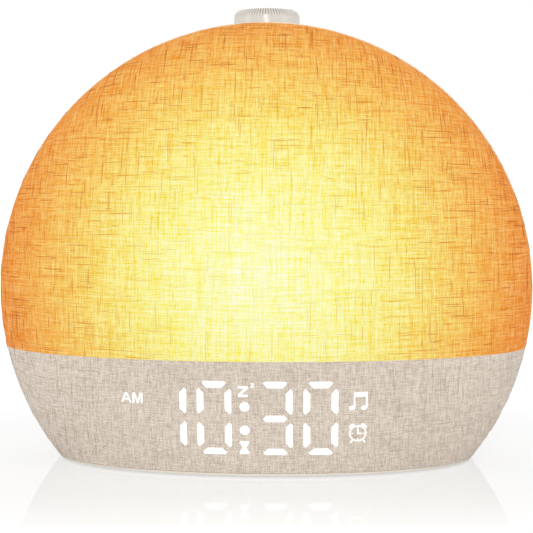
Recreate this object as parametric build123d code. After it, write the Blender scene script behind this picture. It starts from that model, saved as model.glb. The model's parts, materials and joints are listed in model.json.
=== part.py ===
from build123d import *
import math
import os

os.makedirs("parts", exist_ok=True)

# Sunrise alarm clock. Millimetres, +Z up, front towards -Y, standing on Z = 0.
# The cloth dome and the rear shell meet at the parting plane Y = 0. Both are turned about
# the dome axis, which is level, along Y, at centre_height.

# Outer form
dome_radius = 95.0
dome_depth = 46.0
base_cut = 34.8
seam_height = 40.7
shell_proud = 0.4
shell_depth = 45.2
shell_draft = 2.0
shell_edge_radius = 16.0
parting_gap = 0.3

# Walls and clearances
wall = 2.2
cloth_thickness = 0.6
glue_gap = 0.2
fit_gap = 0.2
run_gap = 0.3
tongue_length = 2.0
tongue_thickness = 1.4
tongue_root = 3.0

# Base plate and feet. Places are (inset from the base's side, y).
foot_stand = 0.5
lip_thickness = 0.8
cloth_stand = 0.1
plate_rise = 1.5
foot_radius = 5.0
foot_sink = 0.8
front_foot = (21.5, -17.0)
rear_foot = (15.5, 33.0)
front_base_screw = (13.5, -11.0)
rear_base_screw = (7.5, 22.0)
base_boss_radius = 3.0
base_boss_height = 10.0
rib_thickness = 1.6

# Screws: head radius, head height, shank radius, length under the head
shell_screw_size = (2.8, 2.0, 1.45, 14.0)
base_screw_size = (2.6, 1.3, 1.2, 8.0)
board_screw_size = (2.3, 1.4, 1.0, 5.0)
speaker_screw_size = (3.4, 1.4, 1.1, 3.0)
thread_clearance = 0.05
head_clearance = 0.4
pilot_spare = 1.0
weld = 0.1

# Posts that the four long back screws pull together
post_inset = 21.0
post_side_gap = 3.6
lower_post_drop = 5.3
post_radius = 4.0
front_post_radius = 3.5
post_meet = 6.0
post_seat = 10.0

# Light chamber
baffle_thickness = 1.0
tray_front = 8.0
tray_thickness = 1.5
tray_rim_depth = 3.5
tray_rim_thickness = 1.4
lamp_board_size = (112.0, 40.0, 1.6)
lamp_board_corner = 3.0
lamp_board_gap = 4.8
lamp_screw_inset = (6.0, 4.0)
lamp_columns = 8
lamp_rows = 3
lamp_pitch = 12.0
lamp_led_size = (3.5, 2.8, 1.2)
standoff_radius = 3.2
opening_margin = 1.0
lamp_connector_size = (10.0, 4.5, 6.0)
lamp_connector_drop = 15.0

# Display
display_height = 20.9
display_setback = 18.7
colon_x = -5.4
digit_width = 11.7
digit_height = 25.8
digit_pitch = 15.2
colon_to_digit = 10.2
segment_width = 2.4
segment_relief_x = 1.5
segment_relief_z = 2.8
colon_dot_radius = 1.6
colon_spread = 4.1
light_guide_clearance = 0.1
led_clearance = 0.4
display_led_height = 0.8
display_led_width = 1.2
display_board_thickness = 1.6
display_board_height = 32.0
display_board_rise = 0.6
display_board_side = 10.0
display_board_corner = 10.0
display_boss_radius = 2.8
display_boss_gap = 2.0
display_screw_rise = 10.1
display_screw_drop = 7.4
window_margin = 2.0
window_corner = 2.0
# marks beside the digits: distance from the digits, and each one's width, height and rise
mark_gap = 12.3
morning_mark = (8.4, 4.6, 6.5)
sleep_mark = (5.6, 5.0, 10.1)
timer_mark = (3.8, 5.2, -10.2)
sound_mark = (7.2, 7.2, 5.8)
alarm_mark = (7.2, 8.4, -5.7)

# Knob on top and its encoder
knob_y = 17.0
knob_radius = 12.0
knob_rise = 5.6
knob_edge_radius = 3.3
knob_wall = 2.0
knob_crown = 1.8
knob_rib_count = 72
knob_rib_depth = 0.45
knob_rib_length = 6.0
well_gap = 0.5
well_wall = 1.8
well_depth = 5.6
press_travel = 1.5
press_spare = 0.4
shaft_radius = 3.0
shaft_flat = 1.5
shaft_head_gap = 0.4
shaft_drop = 6.0
hub_radius = 5.0
bushing_radius = 3.5
bushing_rise = 3.0
washer_radius = 5.5
washer_thickness = 0.5
nut_flats = 10.0
nut_height = 2.0
encoder_size = (12.0, 12.0, 8.0)
encoder_floor = 1.5
plunger_radius = 2.8
plunger_thickness = 0.9
encoder_board_size = (16.0, 13.5, 1.6)

# Push buttons in a row on the back
button_inset = 33.2
button_pitch = 14.0
button_radius = 4.5
button_hole_gap = 0.2
button_stand = 0.8
button_edge = 0.6
button_flange_radius = 5.6
button_flange_thickness = 1.1
button_stem_radius = 2.0
button_stem_length = 1.3
button_travel = 0.5
button_spare = 0.1
switch_size = (6.0, 3.5, 6.0)
switch_plunger_radius = 1.7
switch_plunger_length = 0.7
button_board_height = 12.0
button_board_thickness = 1.6
button_board_edge = 3.5
button_standoff_radius = 2.5
button_side_gap = 0.4

# Speaker, facing the back
speaker_rise = 11.8
speaker_radius = 25.0
speaker_flange_thickness = 1.2
speaker_depth = 20.0
basket_thickness = 1.0
basket_taper = 1.5
basket_foot_inset = 2.0
basket_window = (12.0, 10.0)
basket_window_reach = 2.0
basket_window_turns = (45, 135, 225, 315)
magnet_radius = 16.0
magnet_thickness = 8.0
gasket_thickness = 1.0
gasket_width = 3.0
cone_radius = 19.5
cone_neck_radius = 7.0
cone_thickness = 0.5
cone_neck_rise = 3.5
cone_edge_rise = 0.4
coil_gap = 0.2
dust_dome_radius = 3.6
dust_dome_rise = 2.6
surround_width = 2.4
surround_roll = 0.7
surround_gap = 0.05
speaker_boss_radius = 2.4
grille_radius = 22.0
grille_seat = 2.0
grille_thickness = 1.4
slot_width = 1.8
slot_pitch = 4.0
slot_margin = 3.0

# Main board on the base plate
board_rise = 6.6
board_thickness = 1.6
main_board_x = 48.0
main_board_gap = 7.7
main_board_end = 39.0
board_screw_inset = 5.0
board_corner = 2.0
capacitor_radius = 4.0
capacitor_height = 11.0
capacitor_spots = ((-36.0, 22.0), (-26.0, 22.0), (-36.0, 12.0))
# chips: centre x, centre y, width, depth, height
chips = ((8.0, -2.0, 12.0, 12.0, 1.4), (32.0, 4.0, 7.0, 7.0, 1.2), (-14.0, 26.0, 5.0, 6.0, 1.5))
connector_height = 5.0
# connectors: centre x, centre y (the display's: from the board's front edge), width, depth
display_connector = (-10.0, 6.0, 14.0, 4.4)
lamp_socket = (0.0, 12.0, 10.0, 4.4)
button_connector = (-33.0, 33.0, 8.0, 3.0)
speaker_connector = (12.0, 30.0, 6.0, 4.4)
jack_x = 30.0
jack_size = (9.0, 14.0, 10.9)
jack_axis_height = 6.5
jack_bore_radius = 3.15
jack_bore_depth = 9.0
jack_pin_radius = 1.0
jack_pin_inset = 0.8
jack_hole_radius = 4.6

# Back-up cell behind a coin-turn cap in the base
cell_spot = (-14.0, 6.0)
cell_radius = 10.0
cell_thickness = 3.2
cell_gap = 0.3
holder_wall = 1.6
holder_slot = 6.0
contact_thickness = 0.4
contact_reach = 6.0
contact_width = 4.0
cap_flange_radius = 12.3
cap_flange_thickness = 1.2
cap_body_radius = 10.2
cap_gap = 0.2
cap_inset = 0.2
cap_lug_radius = 12.0
cap_lug_thickness = 1.0
cap_lug_angle = 32.0
cap_notch_angle = 3.0
cap_turn = 60.0
coin_slot = (15.0, 1.8, 0.8)

# Inner cables: how far each runs straight, and how far it stands off what it passes
ribbon_thickness = 0.4
ribbon_side = 1.0
lamp_ribbon_run = 8.0
lamp_ribbon_bend = 3.0
display_ribbon_run = 4.0
display_ribbon_climb = 5.0
display_ribbon_bend = 2.0
button_ribbon_run = 10.0
button_ribbon_drop = 30.0
button_ribbon_bend = 8.0
encoder_ribbon_width = 6.0
encoder_ribbon_run = 4.0
encoder_ribbon_bend = 1.5
lead_radius = 0.6
lead_bend = 3.0
lead_spread = 1.2
lead_run = 4.0
lead_drop = 12.0
lead_climb = 8.0

# Handle length that bends a Bezier curve into a quarter ellipse
ellipse_handle = 0.5523

# Levels that follow from the sizes above
far = 4 * dome_radius
centre_height = dome_radius - base_cut
base_half_width = math.sqrt(dome_radius ** 2 - centre_height ** 2)
shell_top = centre_height + dome_radius + shell_proud
shell_slope = math.tan(math.radians(shell_draft))
front_inset = cloth_thickness + glue_gap
lip_top = foot_stand + lip_thickness
bottom_edge = lip_top + cloth_stand
plate_top = bottom_edge + plate_rise
inner_back = shell_depth - wall
board_bottom = plate_top + board_rise
board_top = board_bottom + board_thickness
baffle_bottom = seam_height - baffle_thickness / 2
baffle_top = seam_height + baffle_thickness / 2
tray_back = tray_front + tray_thickness
lamp_height = baffle_top + lamp_board_gap + lamp_board_size[1] / 2
speaker_height = centre_height + speaker_rise
lamp_board_front = tray_front - fit_gap - lamp_board_size[2]
well_radius = knob_radius + well_gap
well_floor = shell_top - well_depth
well_under = well_floor - wall
knob_top = shell_top + knob_rise
knob_bottom = well_floor + press_travel + press_spare
hub_bottom = well_floor + bushing_rise + press_travel + run_gap
shaft_top = knob_top - knob_crown - shaft_head_gap
shaft_bottom = well_floor - shaft_drop
display_plane = display_setback - dome_depth
display_back = display_plane + display_board_thickness
main_board_front = display_back + main_board_gap
flange_back = inner_back - run_gap
flange_front = flange_back - button_flange_thickness
switch_tip = flange_front - button_stem_length - button_travel - button_spare
button_board_back = switch_tip - switch_plunger_length - switch_size[1]
button_board_front = button_board_back - button_board_thickness
button_height = centre_height + dome_radius - button_inset
button_screw_x = 2 * button_pitch + button_flange_radius + button_side_gap + button_standoff_radius
button_board_half = button_screw_x + button_board_edge
post_circle = dome_radius - post_inset
upper_post_x = button_board_half + post_radius + post_side_gap

# Digits, marks and window, from left to right
digit_arm = (digit_width - segment_width) / 2
digit_rise = (digit_height - segment_width) / 2
second_digit_x = colon_x - colon_to_digit
third_digit_x = colon_x + colon_to_digit
first_digit_x = second_digit_x - digit_pitch
fourth_digit_x = third_digit_x + digit_pitch
left_mark_x = first_digit_x - mark_gap
right_mark_x = fourth_digit_x + mark_gap
display_left = left_mark_x - morning_mark[0] / 2 - window_margin
digits_left = first_digit_x + digit_arm - segment_width / 2 - window_margin
display_right = right_mark_x + alarm_mark[0] / 2 + window_margin
display_board_right = display_right + display_board_side


# Small helpers

def block(x_range, y_range, z_range):
    """Box between two corners, given as (low, high) along each axis."""
    ranges = (x_range, y_range, z_range)
    middle = [(low + high) / 2 for low, high in ranges]
    return Pos(*middle) * Box(*[high - low for low, high in ranges])


def slab(low, high):
    """Everything between two heights."""
    return block((-far, far), (-far, far), (low, high))


def about(middle, width):
    """(low, high) of a width laid evenly about its middle."""
    return (middle - width / 2, middle + width / 2)


def rod_z(x, y, radius, low, high):
    return Pos(x, y, (low + high) / 2) * Cylinder(radius, high - low)


def rod_y(x, z, radius, low, high):
    return Pos(x, (low + high) / 2, z) * Rot(90, 0, 0) * Cylinder(radius, high - low)


def face_of(*points):
    return make_face(Polyline(*points, close=True))


def joined(pieces):
    """One compound of separate solids."""
    return Compound(children=[solid for piece in pieces for solid in piece.solids()])


def screw(size):
    """Pan-head screw along Z: the head sits above Z = 0 and the shank hangs below it."""
    head_radius, head_height, shank_radius, length = size
    head = rod_z(0, 0, head_radius, 0, head_height)
    return head + rod_z(0, 0, shank_radius, -length, weld)


def mirrored_spots(*spots):
    """Each (a, b) spot and its mirror image at (-a, b)."""
    return [(side * a, b) for a, b in spots for side in (-1, 1)]


# The two turned forms that everything else follows

def dome(inset):
    """Half ellipsoid in front of the parting plane, its two radii pulled in by inset."""
    across = dome_radius - inset
    deep = dome_depth - inset
    arc = Bezier((0, -deep), (ellipse_handle * across, -deep), (across, -ellipse_handle * deep), (across, 0))
    quarter = make_face([arc, Line((across, 0), (0, 0)), Line((0, 0), (0, -deep))])
    axis = Axis((0, 0, centre_height), (0, 1, 0))
    return revolve(Pos(0, 0, centre_height) * quarter, axis, 360)


def drum(inset):
    """Rear body behind the parting plane: a drafted drum with a rounded edge and a flat back."""
    front_radius = dome_radius + shell_proud - inset
    depth = shell_depth - inset
    back_radius = front_radius - depth * shell_slope
    profile = face_of((0, 0), (front_radius, 0), (back_radius, depth), (0, depth))
    corner = profile.vertices().sort_by_distance((back_radius, depth, 0))[0]
    profile = fillet(corner, shell_edge_radius - inset)
    axis = Axis((0, 0, centre_height), (0, 1, 0))
    return revolve(Pos(0, 0, centre_height) * profile, axis, 360)


def upper_post_spots():
    rise = math.sqrt(post_circle ** 2 - upper_post_x ** 2)
    return mirrored_spots((upper_post_x, centre_height + rise))


def lower_post_spots():
    z = baffle_bottom - lower_post_drop
    return mirrored_spots((math.sqrt(post_circle ** 2 - (centre_height - z) ** 2), z))


def base_spots(*places):
    """Both spots of each (inset from the base's side, y) place."""
    return mirrored_spots(*[(base_half_width - inset, y) for inset, y in places])


def base_boss(spot, inside):
    """Screw boss over the base plate, with a rib out to the side wall."""
    x, y = spot
    low = plate_top + fit_gap
    high = low + base_boss_height
    boss = rod_z(x, y, base_boss_radius, low, high)
    outward = (x, far) if x > 0 else (-far, x)
    rib = block(outward, about(y, rib_thickness), (low, high))
    return (boss + rib) & inside


def base_boss_pilot(spot):
    low = plate_top + fit_gap
    radius = base_screw_size[2] + thread_clearance
    return rod_z(*spot, radius, low - weld, low + base_boss_height - pilot_spare)


# Cloth and front mouldings

def front_moulding(low, high, posts):
    """Band of the dome moulding between two heights, with a tongue into the rear shell."""
    outer = dome(front_inset)
    inner = dome(front_inset + wall)
    tongue_outer = dome_radius + shell_proud - wall - fit_gap
    tongue = rod_y(0, centre_height, tongue_outer, -tongue_root, tongue_length)
    tongue -= rod_y(0, centre_height, tongue_outer - tongue_thickness, -far, far)
    tongue &= slab(plate_top + fit_gap, far)
    band = (outer - inner) + tongue
    for x, z in posts:
        inside = rod_y(x, z, front_post_radius, -far, 0) & dome(front_inset + wall / 2)
        band += inside + rod_y(x, z, front_post_radius, -weld, post_meet - fit_gap)
    for x, z in posts:
        pilot = shell_screw_size[2] + thread_clearance
        band -= rod_y(x, z, pilot, post_seat - shell_screw_size[3] - pilot_spare, post_meet)
    return band & slab(low, high)


def make_fabric_cover():
    return (dome(0) - dome(cloth_thickness)) & slab(bottom_edge, far)


def make_light_diffuser():
    return front_moulding(baffle_top + fit_gap, far, upper_post_spots())


def window_prism(left, right, middle, height, margin):
    outline = RectangleRounded(right - left + 2 * margin, height + 2 * margin, window_corner)
    return extrude(Plane.XZ * Pos((left + right) / 2, middle) * outline, far)


def window_prisms(margin):
    """The display window, larger by margin all round: the digits, and the mark on their left."""
    tall = digit_height + 2 * window_margin
    digits = window_prism(digits_left, display_right, display_height, tall, margin)
    _, height, rise = morning_mark
    middle = display_height + rise
    joint = digits_left + 2 * window_corner
    return digits + window_prism(display_left, joint, middle, height + 2 * window_margin, margin)


def display_screw_spots():
    right = display_right + display_boss_gap + display_boss_radius
    left = display_left + display_board_corner - window_margin
    low = display_height - display_screw_drop
    return ((left, low), (right, low), (right, display_height + display_screw_rise))


def make_lower_front_panel():
    panel = front_moulding(bottom_edge, baffle_bottom - fit_gap, lower_post_spots())
    inside = dome(front_inset + wall / 2)
    for x, z in display_screw_spots():
        panel += rod_y(x, z, display_boss_radius, -far, display_plane - fit_gap / 2) & inside
    for spot in base_spots(front_base_screw):
        panel += base_boss(spot, inside)
        panel -= base_boss_pilot(spot)
    for x, z in display_screw_spots():
        pilot = board_screw_size[2] + thread_clearance
        panel -= rod_y(x, z, pilot, display_back - board_screw_size[3] - pilot_spare, display_plane)
    return panel - window_prisms(0)


# Light chamber

def make_light_baffle():
    front = dome(front_inset)
    rear = drum(wall + fit_gap) & block((-far, far), (-weld, tray_front), (0, far))
    return (front + rear) & slab(baffle_bottom, baffle_top)


def make_reflector_tray():
    radius = dome_radius + shell_proud - wall - 3 * fit_gap - tray_back * shell_slope
    tray = rod_y(0, centre_height, radius, tray_front - tray_rim_depth, tray_back)
    tray -= rod_y(0, centre_height, radius - tray_rim_thickness, -far, tray_front)
    tray -= rod_z(0, knob_y, well_radius + well_wall + opening_margin, well_under - opening_margin, far)
    for x, z in upper_post_spots():
        tray -= rod_y(x, z, post_radius + fit_gap, -far, far)
    for x, z in lamp_screw_spots():
        tray -= rod_y(x, z, board_screw_size[2] + fit_gap, -far, far)
    width, _, height = lamp_connector_size
    across = about(0, width + 2 * opening_margin)
    up = about(lamp_height - lamp_connector_drop, height + 2 * opening_margin)
    return (tray - block(across, (0, far), up)) & slab(baffle_top + fit_gap, far)


def lamp_screw_spots():
    x = lamp_board_size[0] / 2 - lamp_screw_inset[0]
    up = lamp_board_size[1] / 2 - lamp_screw_inset[1]
    return mirrored_spots((x, lamp_height - up), (x, lamp_height + up))


def make_lamp_board():
    width, height, thickness = lamp_board_size
    board = extrude(Plane.XZ * RectangleRounded(width, height, lamp_board_corner), -thickness)
    board = Pos(0, lamp_board_front, lamp_height) * board
    for x, z in lamp_screw_spots():
        board -= rod_y(x, z, board_screw_size[2] + fit_gap, -far, far)
    return board


def make_lamp_leds():
    width, height, depth = lamp_led_size
    leds = []
    for column in range(lamp_columns):
        for row in range(lamp_rows):
            x = (column - (lamp_columns - 1) / 2) * lamp_pitch
            z = lamp_height + (row - (lamp_rows - 1) / 2) * lamp_pitch
            reach = (lamp_board_front - depth, lamp_board_front)
            leds.append(block(about(x, width), reach, about(z, height)))
    return joined(leds)


def make_lamp_connector():
    width, depth, height = lamp_connector_size
    back = lamp_board_front + lamp_board_size[2]
    middle = lamp_height - lamp_connector_drop
    return block(about(0, width), (back, back + depth), about(middle, height))


def make_lamp_board_screws():
    return joined([
        Pos(x, lamp_board_front, z) * Rot(90, 0, 0) * screw(board_screw_size)
        for x, z in lamp_screw_spots()
    ])


# Display

def bar(x, z, length, upright, margin):
    """Six-sided segment outline in the XZ plane, larger by margin all round."""
    half = length / 2 + margin * math.sqrt(2)
    side = segment_width / 2 + margin
    outline = face_of(
        (-half, 0), (-half + side, -side), (half - side, -side),
        (half, 0), (half - side, side), (-half + side, side),
    )
    return Pos(x, z) * Rot(0, 0, 90 if upright else 0) * outline


def upright_bars(x, margin):
    """The upper and lower upright segment at one x."""
    length = digit_rise - segment_relief_z
    return [bar(x, display_height + level * digit_rise / 2, length, True, margin) for level in (-1, 1)]


def digit_outlines(x, margin):
    """The seven segments of one digit."""
    length = 2 * digit_arm - segment_relief_x
    levels = [bar(x, display_height + level * digit_rise, length, False, margin) for level in (-1, 0, 1)]
    return levels + upright_bars(x - digit_arm, margin) + upright_bars(x + digit_arm, margin)


def mark_outlines(margin):
    places = (
        (left_mark_x, morning_mark), (colon_x, sleep_mark), (colon_x, timer_mark),
        (right_mark_x, sound_mark), (right_mark_x, alarm_mark),
    )
    return [
        Pos(x, display_height + rise) * Rectangle(width + 2 * margin, height + 2 * margin)
        for x, (width, height, rise) in places
    ]


def light_outlines(margin):
    """Every lit shape: the leading 1, three digits, the colon and the marks."""
    outlines = upright_bars(first_digit_x + digit_arm, margin)
    for x in (second_digit_x, third_digit_x, fourth_digit_x):
        outlines += digit_outlines(x, margin)
    for side in (-1, 1):
        dot = Circle(colon_dot_radius + margin)
        outlines.append(Pos(colon_x, display_height + side * colon_spread) * dot)
    return outlines + mark_outlines(margin)


def make_segment_housing():
    """Opaque block behind the cloth with one light channel for each lit shape."""
    housing = window_prisms(-fit_gap) & block((-far, far), (-far, display_plane - fit_gap / 2), (0, far))
    housing &= dome(front_inset)
    return housing - [extrude(Plane.XZ * outline, far) for outline in light_outlines(light_guide_clearance)]


def make_segment_lenses():
    """Clear light guides that end on the dome surface, just under the cloth."""
    back = display_plane - display_led_height - led_clearance
    front = dome(front_inset)
    guides = []
    for outline in light_outlines(0):
        prism = Pos(0, back, 0) * extrude(Plane.XZ * outline, far)
        guides.append(prism & front)
    return joined(guides)


def make_display_board():
    width = display_board_right - display_left
    outline = RectangleRounded(width, display_board_height, display_board_corner)
    middle = Pos(display_left + width / 2, display_height + display_board_rise)
    board = Pos(0, display_plane, 0) * extrude(Plane.XZ * middle * outline, -display_board_thickness)
    for x, z in display_screw_spots():
        board -= rod_y(x, z, board_screw_size[2] + fit_gap, -far, far)
    return board


def make_display_leds():
    leds = []
    for outline in light_outlines(0):
        centre = outline.center()
        depth = (display_plane - display_led_height, display_plane)
        leds.append(block(about(centre.X, display_led_width), depth, about(centre.Y, display_led_width)))
    return joined(leds)


def make_display_screws():
    return joined([
        Pos(x, display_back, z) * Rot(-90, 0, 0) * screw(board_screw_size)
        for x, z in display_screw_spots()
    ])


# Rear shell, grille and long screws

def button_spots():
    return [(step * button_pitch, button_height) for step in (-2, -1, 0, 1, 2)]


def speaker_screw_spots():
    reach = (speaker_radius + speaker_boss_radius + fit_gap) / math.sqrt(2)
    spots = []
    for side in (-1, 1):
        for level in (-1, 1):
            spots.append((side * reach, speaker_height + level * reach))
    return spots


def make_rear_shell():
    shell = drum(0) - drum(wall)
    hold = inner_back + wall / 4
    inside = drum(wall / 2)
    _, flange_level, _, _ = speaker_levels()

    # pillars that stand on the inside of the back
    for x, z in upper_post_spots() + lower_post_spots():
        shell += rod_y(x, z, post_radius, post_meet, hold)
    for x, z in lamp_screw_spots():
        shell += rod_y(x, z, standoff_radius, tray_back, hold)
    for x, z in mirrored_spots((button_screw_x, button_height)):
        shell += rod_y(x, z, button_standoff_radius, button_board_back, hold)
    for x, z in speaker_screw_spots():
        shell += rod_y(x, z, speaker_boss_radius, flange_level, hold)
    for spot in base_spots(rear_base_screw):
        shell += base_boss(spot, inside)

    # cup that the knob sinks into
    cup = rod_z(0, knob_y, well_radius + well_wall, well_under, far) & drum(0)
    shell += cup
    shell -= rod_z(0, knob_y, well_radius, well_floor, far)
    shell -= rod_z(0, knob_y, bushing_radius + thread_clearance, well_under - weld, far)

    # screw tunnels, pilots and openings through the back
    head_radius, _, shank_radius, _ = shell_screw_size
    for x, z in upper_post_spots() + lower_post_spots():
        shell -= rod_y(x, z, head_radius + head_clearance, post_seat, far)
        shell -= rod_y(x, z, shank_radius + fit_gap, 0, far)
    pilot = board_screw_size[2] + thread_clearance
    for x, z in lamp_screw_spots():
        shell -= rod_y(x, z, pilot, 0, lamp_board_front + board_screw_size[3] + pilot_spare)
    for x, z in mirrored_spots((button_screw_x, button_height)):
        shell -= rod_y(x, z, pilot, 0, button_board_front + board_screw_size[3] + pilot_spare)
    speaker_pilot = speaker_screw_size[2] + thread_clearance
    for x, z in speaker_screw_spots():
        shell -= rod_y(x, z, speaker_pilot, 0, flange_level + speaker_screw_size[3] + fit_gap)
    for spot in base_spots(rear_base_screw):
        shell -= base_boss_pilot(spot)
    for x, z in button_spots():
        shell -= rod_y(x, z, button_radius + button_hole_gap, inner_back - weld, far)
    shell -= rod_y(0, speaker_height, grille_radius - grille_seat, inner_back - weld, far)
    shell -= rod_y(0, speaker_height, grille_radius + fit_gap, shell_depth - grille_thickness, far)
    shell -= rod_y(jack_x, board_top + jack_axis_height, jack_hole_radius, inner_back - weld, far)
    return shell & block((-far, far), (parting_gap, far), (bottom_edge, far))


def make_speaker_grille():
    """Round insert with upright slots whose lengths follow the circle."""
    back = shell_depth
    grille = rod_y(0, speaker_height, grille_radius, back - grille_thickness, back)
    reach = grille_radius - slot_margin
    count = int(reach / slot_pitch)
    for step in range(-count, count + 1):
        x = step * slot_pitch
        half = math.sqrt(reach ** 2 - x ** 2)
        outline = SlotOverall(2 * half, slot_width, rotation=90)
        grille -= Pos(x, far / 2, speaker_height) * extrude(Plane.XZ * outline, far)
    return grille


def make_shell_screws():
    return joined([
        Pos(x, post_seat, z) * Rot(-90, 0, 0) * screw(shell_screw_size)
        for x, z in upper_post_spots() + lower_post_spots()
    ])


# Base

def board_screw_spots():
    x = main_board_x - board_screw_inset
    return mirrored_spots((x, main_board_front + board_screw_inset), (x, main_board_end - board_screw_inset))


def cap_sectors(radius, low, high, start, margin):
    """Two opposite bayonet sectors about the battery cap's axis."""
    half = cap_lug_angle / 2 + margin
    sectors = []
    for turn in (start, start + 180):
        edges = [math.radians(turn - half), math.radians(turn + half)]
        corners = [(2 * radius * math.cos(edge), 2 * radius * math.sin(edge)) for edge in edges]
        wedge = extrude(Pos(*cell_spot, low) * face_of((0, 0), *corners), high - low)
        sectors.append(wedge & rod_z(*cell_spot, radius, low, high))
    return sectors


def make_base_plate():
    lip = (dome(0) + drum(0)) & slab(foot_stand, lip_top)
    hollow = dome(front_inset + wall + fit_gap) + drum(wall + fit_gap)
    inner = hollow & slab(bottom_edge, plate_top)
    outline = Pos(0, 0, foot_stand - bottom_edge) * inner.faces().filter_by(Axis.Z).sort_by(Axis.Z)[0]
    plate = lip + extrude(outline, plate_top - foot_stand, dir=(0, 0, 1))
    for x, y in board_screw_spots():
        plate += rod_z(x, y, standoff_radius, plate_top - weld, board_bottom)
    for x, y in board_screw_spots():
        plate -= rod_z(x, y, board_screw_size[2] + thread_clearance, lip_top, board_bottom + weld)
    for x, y in base_spots(front_foot, rear_foot):
        plate -= rod_z(x, y, foot_radius + fit_gap, 0, foot_stand + foot_sink + fit_gap / 2)
    head_radius, head_height, shank_radius, _ = base_screw_size
    for x, y in base_spots(front_base_screw, rear_base_screw):
        plate -= rod_z(x, y, head_radius + fit_gap, 0, foot_stand + head_height + fit_gap)
        plate -= rod_z(x, y, shank_radius + fit_gap, 0, far)

    # stepped bayonet hole for the battery cap, with two notches that let the lugs through
    step = foot_stand + cap_inset + cap_flange_thickness + cap_gap / 2
    plate -= rod_z(*cell_spot, cap_flange_radius + cap_gap, 0, step)
    plate -= rod_z(*cell_spot, cap_body_radius + cap_gap, 0, plate_top + weld)
    for notch in cap_sectors(cap_lug_radius + cap_gap, 0, plate_top + weld, -cap_turn, cap_notch_angle):
        plate -= notch
    return plate


def make_rubber_feet():
    return joined([
        rod_z(x, y, foot_radius, 0, foot_stand + foot_sink) for x, y in base_spots(front_foot, rear_foot)
    ])


def make_base_screws():
    seat = foot_stand + base_screw_size[1]
    return joined([
        Pos(x, y, seat) * Rot(180, 0, 0) * screw(base_screw_size)
        for x, y in base_spots(front_base_screw, rear_base_screw)
    ])


def make_battery_cap():
    low = foot_stand + cap_inset
    cap = rod_z(*cell_spot, cap_flange_radius, low, low + cap_flange_thickness)
    cap += rod_z(*cell_spot, cap_body_radius, low, plate_top + cap_gap + cap_lug_thickness)
    lug_low = plate_top + cap_gap
    for lug in cap_sectors(cap_lug_radius, lug_low, lug_low + cap_lug_thickness, 0, 0):
        cap += lug
    length, width, depth = coin_slot
    x, y = cell_spot
    return cap - block(about(x, length), about(y, width), (0, low + depth))


# Back-up cell

def cell_levels():
    low = plate_top + cap_gap + cap_lug_thickness + cell_gap
    return (low, low + cell_thickness)


def make_coin_cell():
    low, high = cell_levels()
    return rod_z(*cell_spot, cell_radius, low, high)


def make_battery_holder():
    """Open ring under the board that keeps the cell centred."""
    low, _ = cell_levels()
    inner = cell_radius + cell_gap
    ring = rod_z(*cell_spot, inner + holder_wall, low, board_bottom)
    ring -= rod_z(*cell_spot, inner, 0, far)
    x, y = cell_spot
    return ring - block(about(x, holder_slot), (y, far), (0, far))


def make_battery_contact():
    """Bowed spring strip between the cell and the board."""
    _, cell_top = cell_levels()
    x, y = cell_spot
    foot = cell_top + contact_thickness / 2
    rise = board_bottom - cell_top - contact_thickness
    bow = ThreePointArc((x - contact_reach, foot), (x, foot + rise), (x + contact_reach, foot))
    strip = Plane.XZ * trace(bow, contact_thickness)
    return Pos(0, y + contact_width / 2, 0) * extrude(strip, contact_width)


# Main board

def make_main_board():
    board = block(about(0, 2 * main_board_x), (main_board_front, main_board_end), (board_bottom, board_top))
    board = fillet(board.edges().filter_by(Axis.Z), board_corner)
    for x, y in board_screw_spots():
        board -= rod_z(x, y, board_screw_size[2] + fit_gap, 0, far)
    return board


def make_main_board_screws():
    return joined([Pos(x, y, board_top) * screw(board_screw_size) for x, y in board_screw_spots()])


def make_board_chips():
    return joined([
        block(about(x, width), about(y, depth), (board_top, board_top + height))
        for x, y, width, depth, height in chips
    ])


def make_capacitors():
    return joined([
        rod_z(x, y, capacitor_radius, board_top, board_top + capacitor_height) for x, y in capacitor_spots
    ])


def make_board_connectors():
    x, inset, width, depth = display_connector
    sockets = ((x, main_board_front + inset, width, depth), lamp_socket, button_connector, speaker_connector)
    return joined([
        block(about(x, width), about(y, depth), (board_top, board_top + connector_height))
        for x, y, width, depth in sockets
    ])


def make_power_jack():
    """Barrel inlet on the board's rear edge, its mouth at the hole in the back."""
    front = inner_back - fit_gap
    axis_height = board_top + jack_axis_height
    width, depth, height = jack_size
    jack = block(about(jack_x, width), (front - depth, front), (board_top, board_top + height))
    bore_end = front - jack_bore_depth
    jack -= rod_y(jack_x, axis_height, jack_bore_radius, bore_end, far)
    return jack + rod_y(jack_x, axis_height, jack_pin_radius, bore_end - weld, front - jack_pin_inset)


# Speaker

def turned(*points):
    """Body turned about the speaker's axis from (radius, y) points."""
    return Pos(0, 0, speaker_height) * revolve(face_of(*points), Axis.Y, 360)


def speaker_levels():
    """Y of the flange's back, its front, the basket's rear plate and the magnet's end."""
    flange_back_y = inner_back - gasket_thickness
    flange_front_y = flange_back_y - speaker_flange_thickness
    end = inner_back - speaker_depth
    return flange_back_y, flange_front_y, end + magnet_thickness, end


def make_speaker_gasket():
    inner = speaker_radius - gasket_width
    ring = rod_y(0, speaker_height, speaker_radius, inner_back - gasket_thickness, inner_back)
    return ring - rod_y(0, speaker_height, inner, 0, far)


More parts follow.
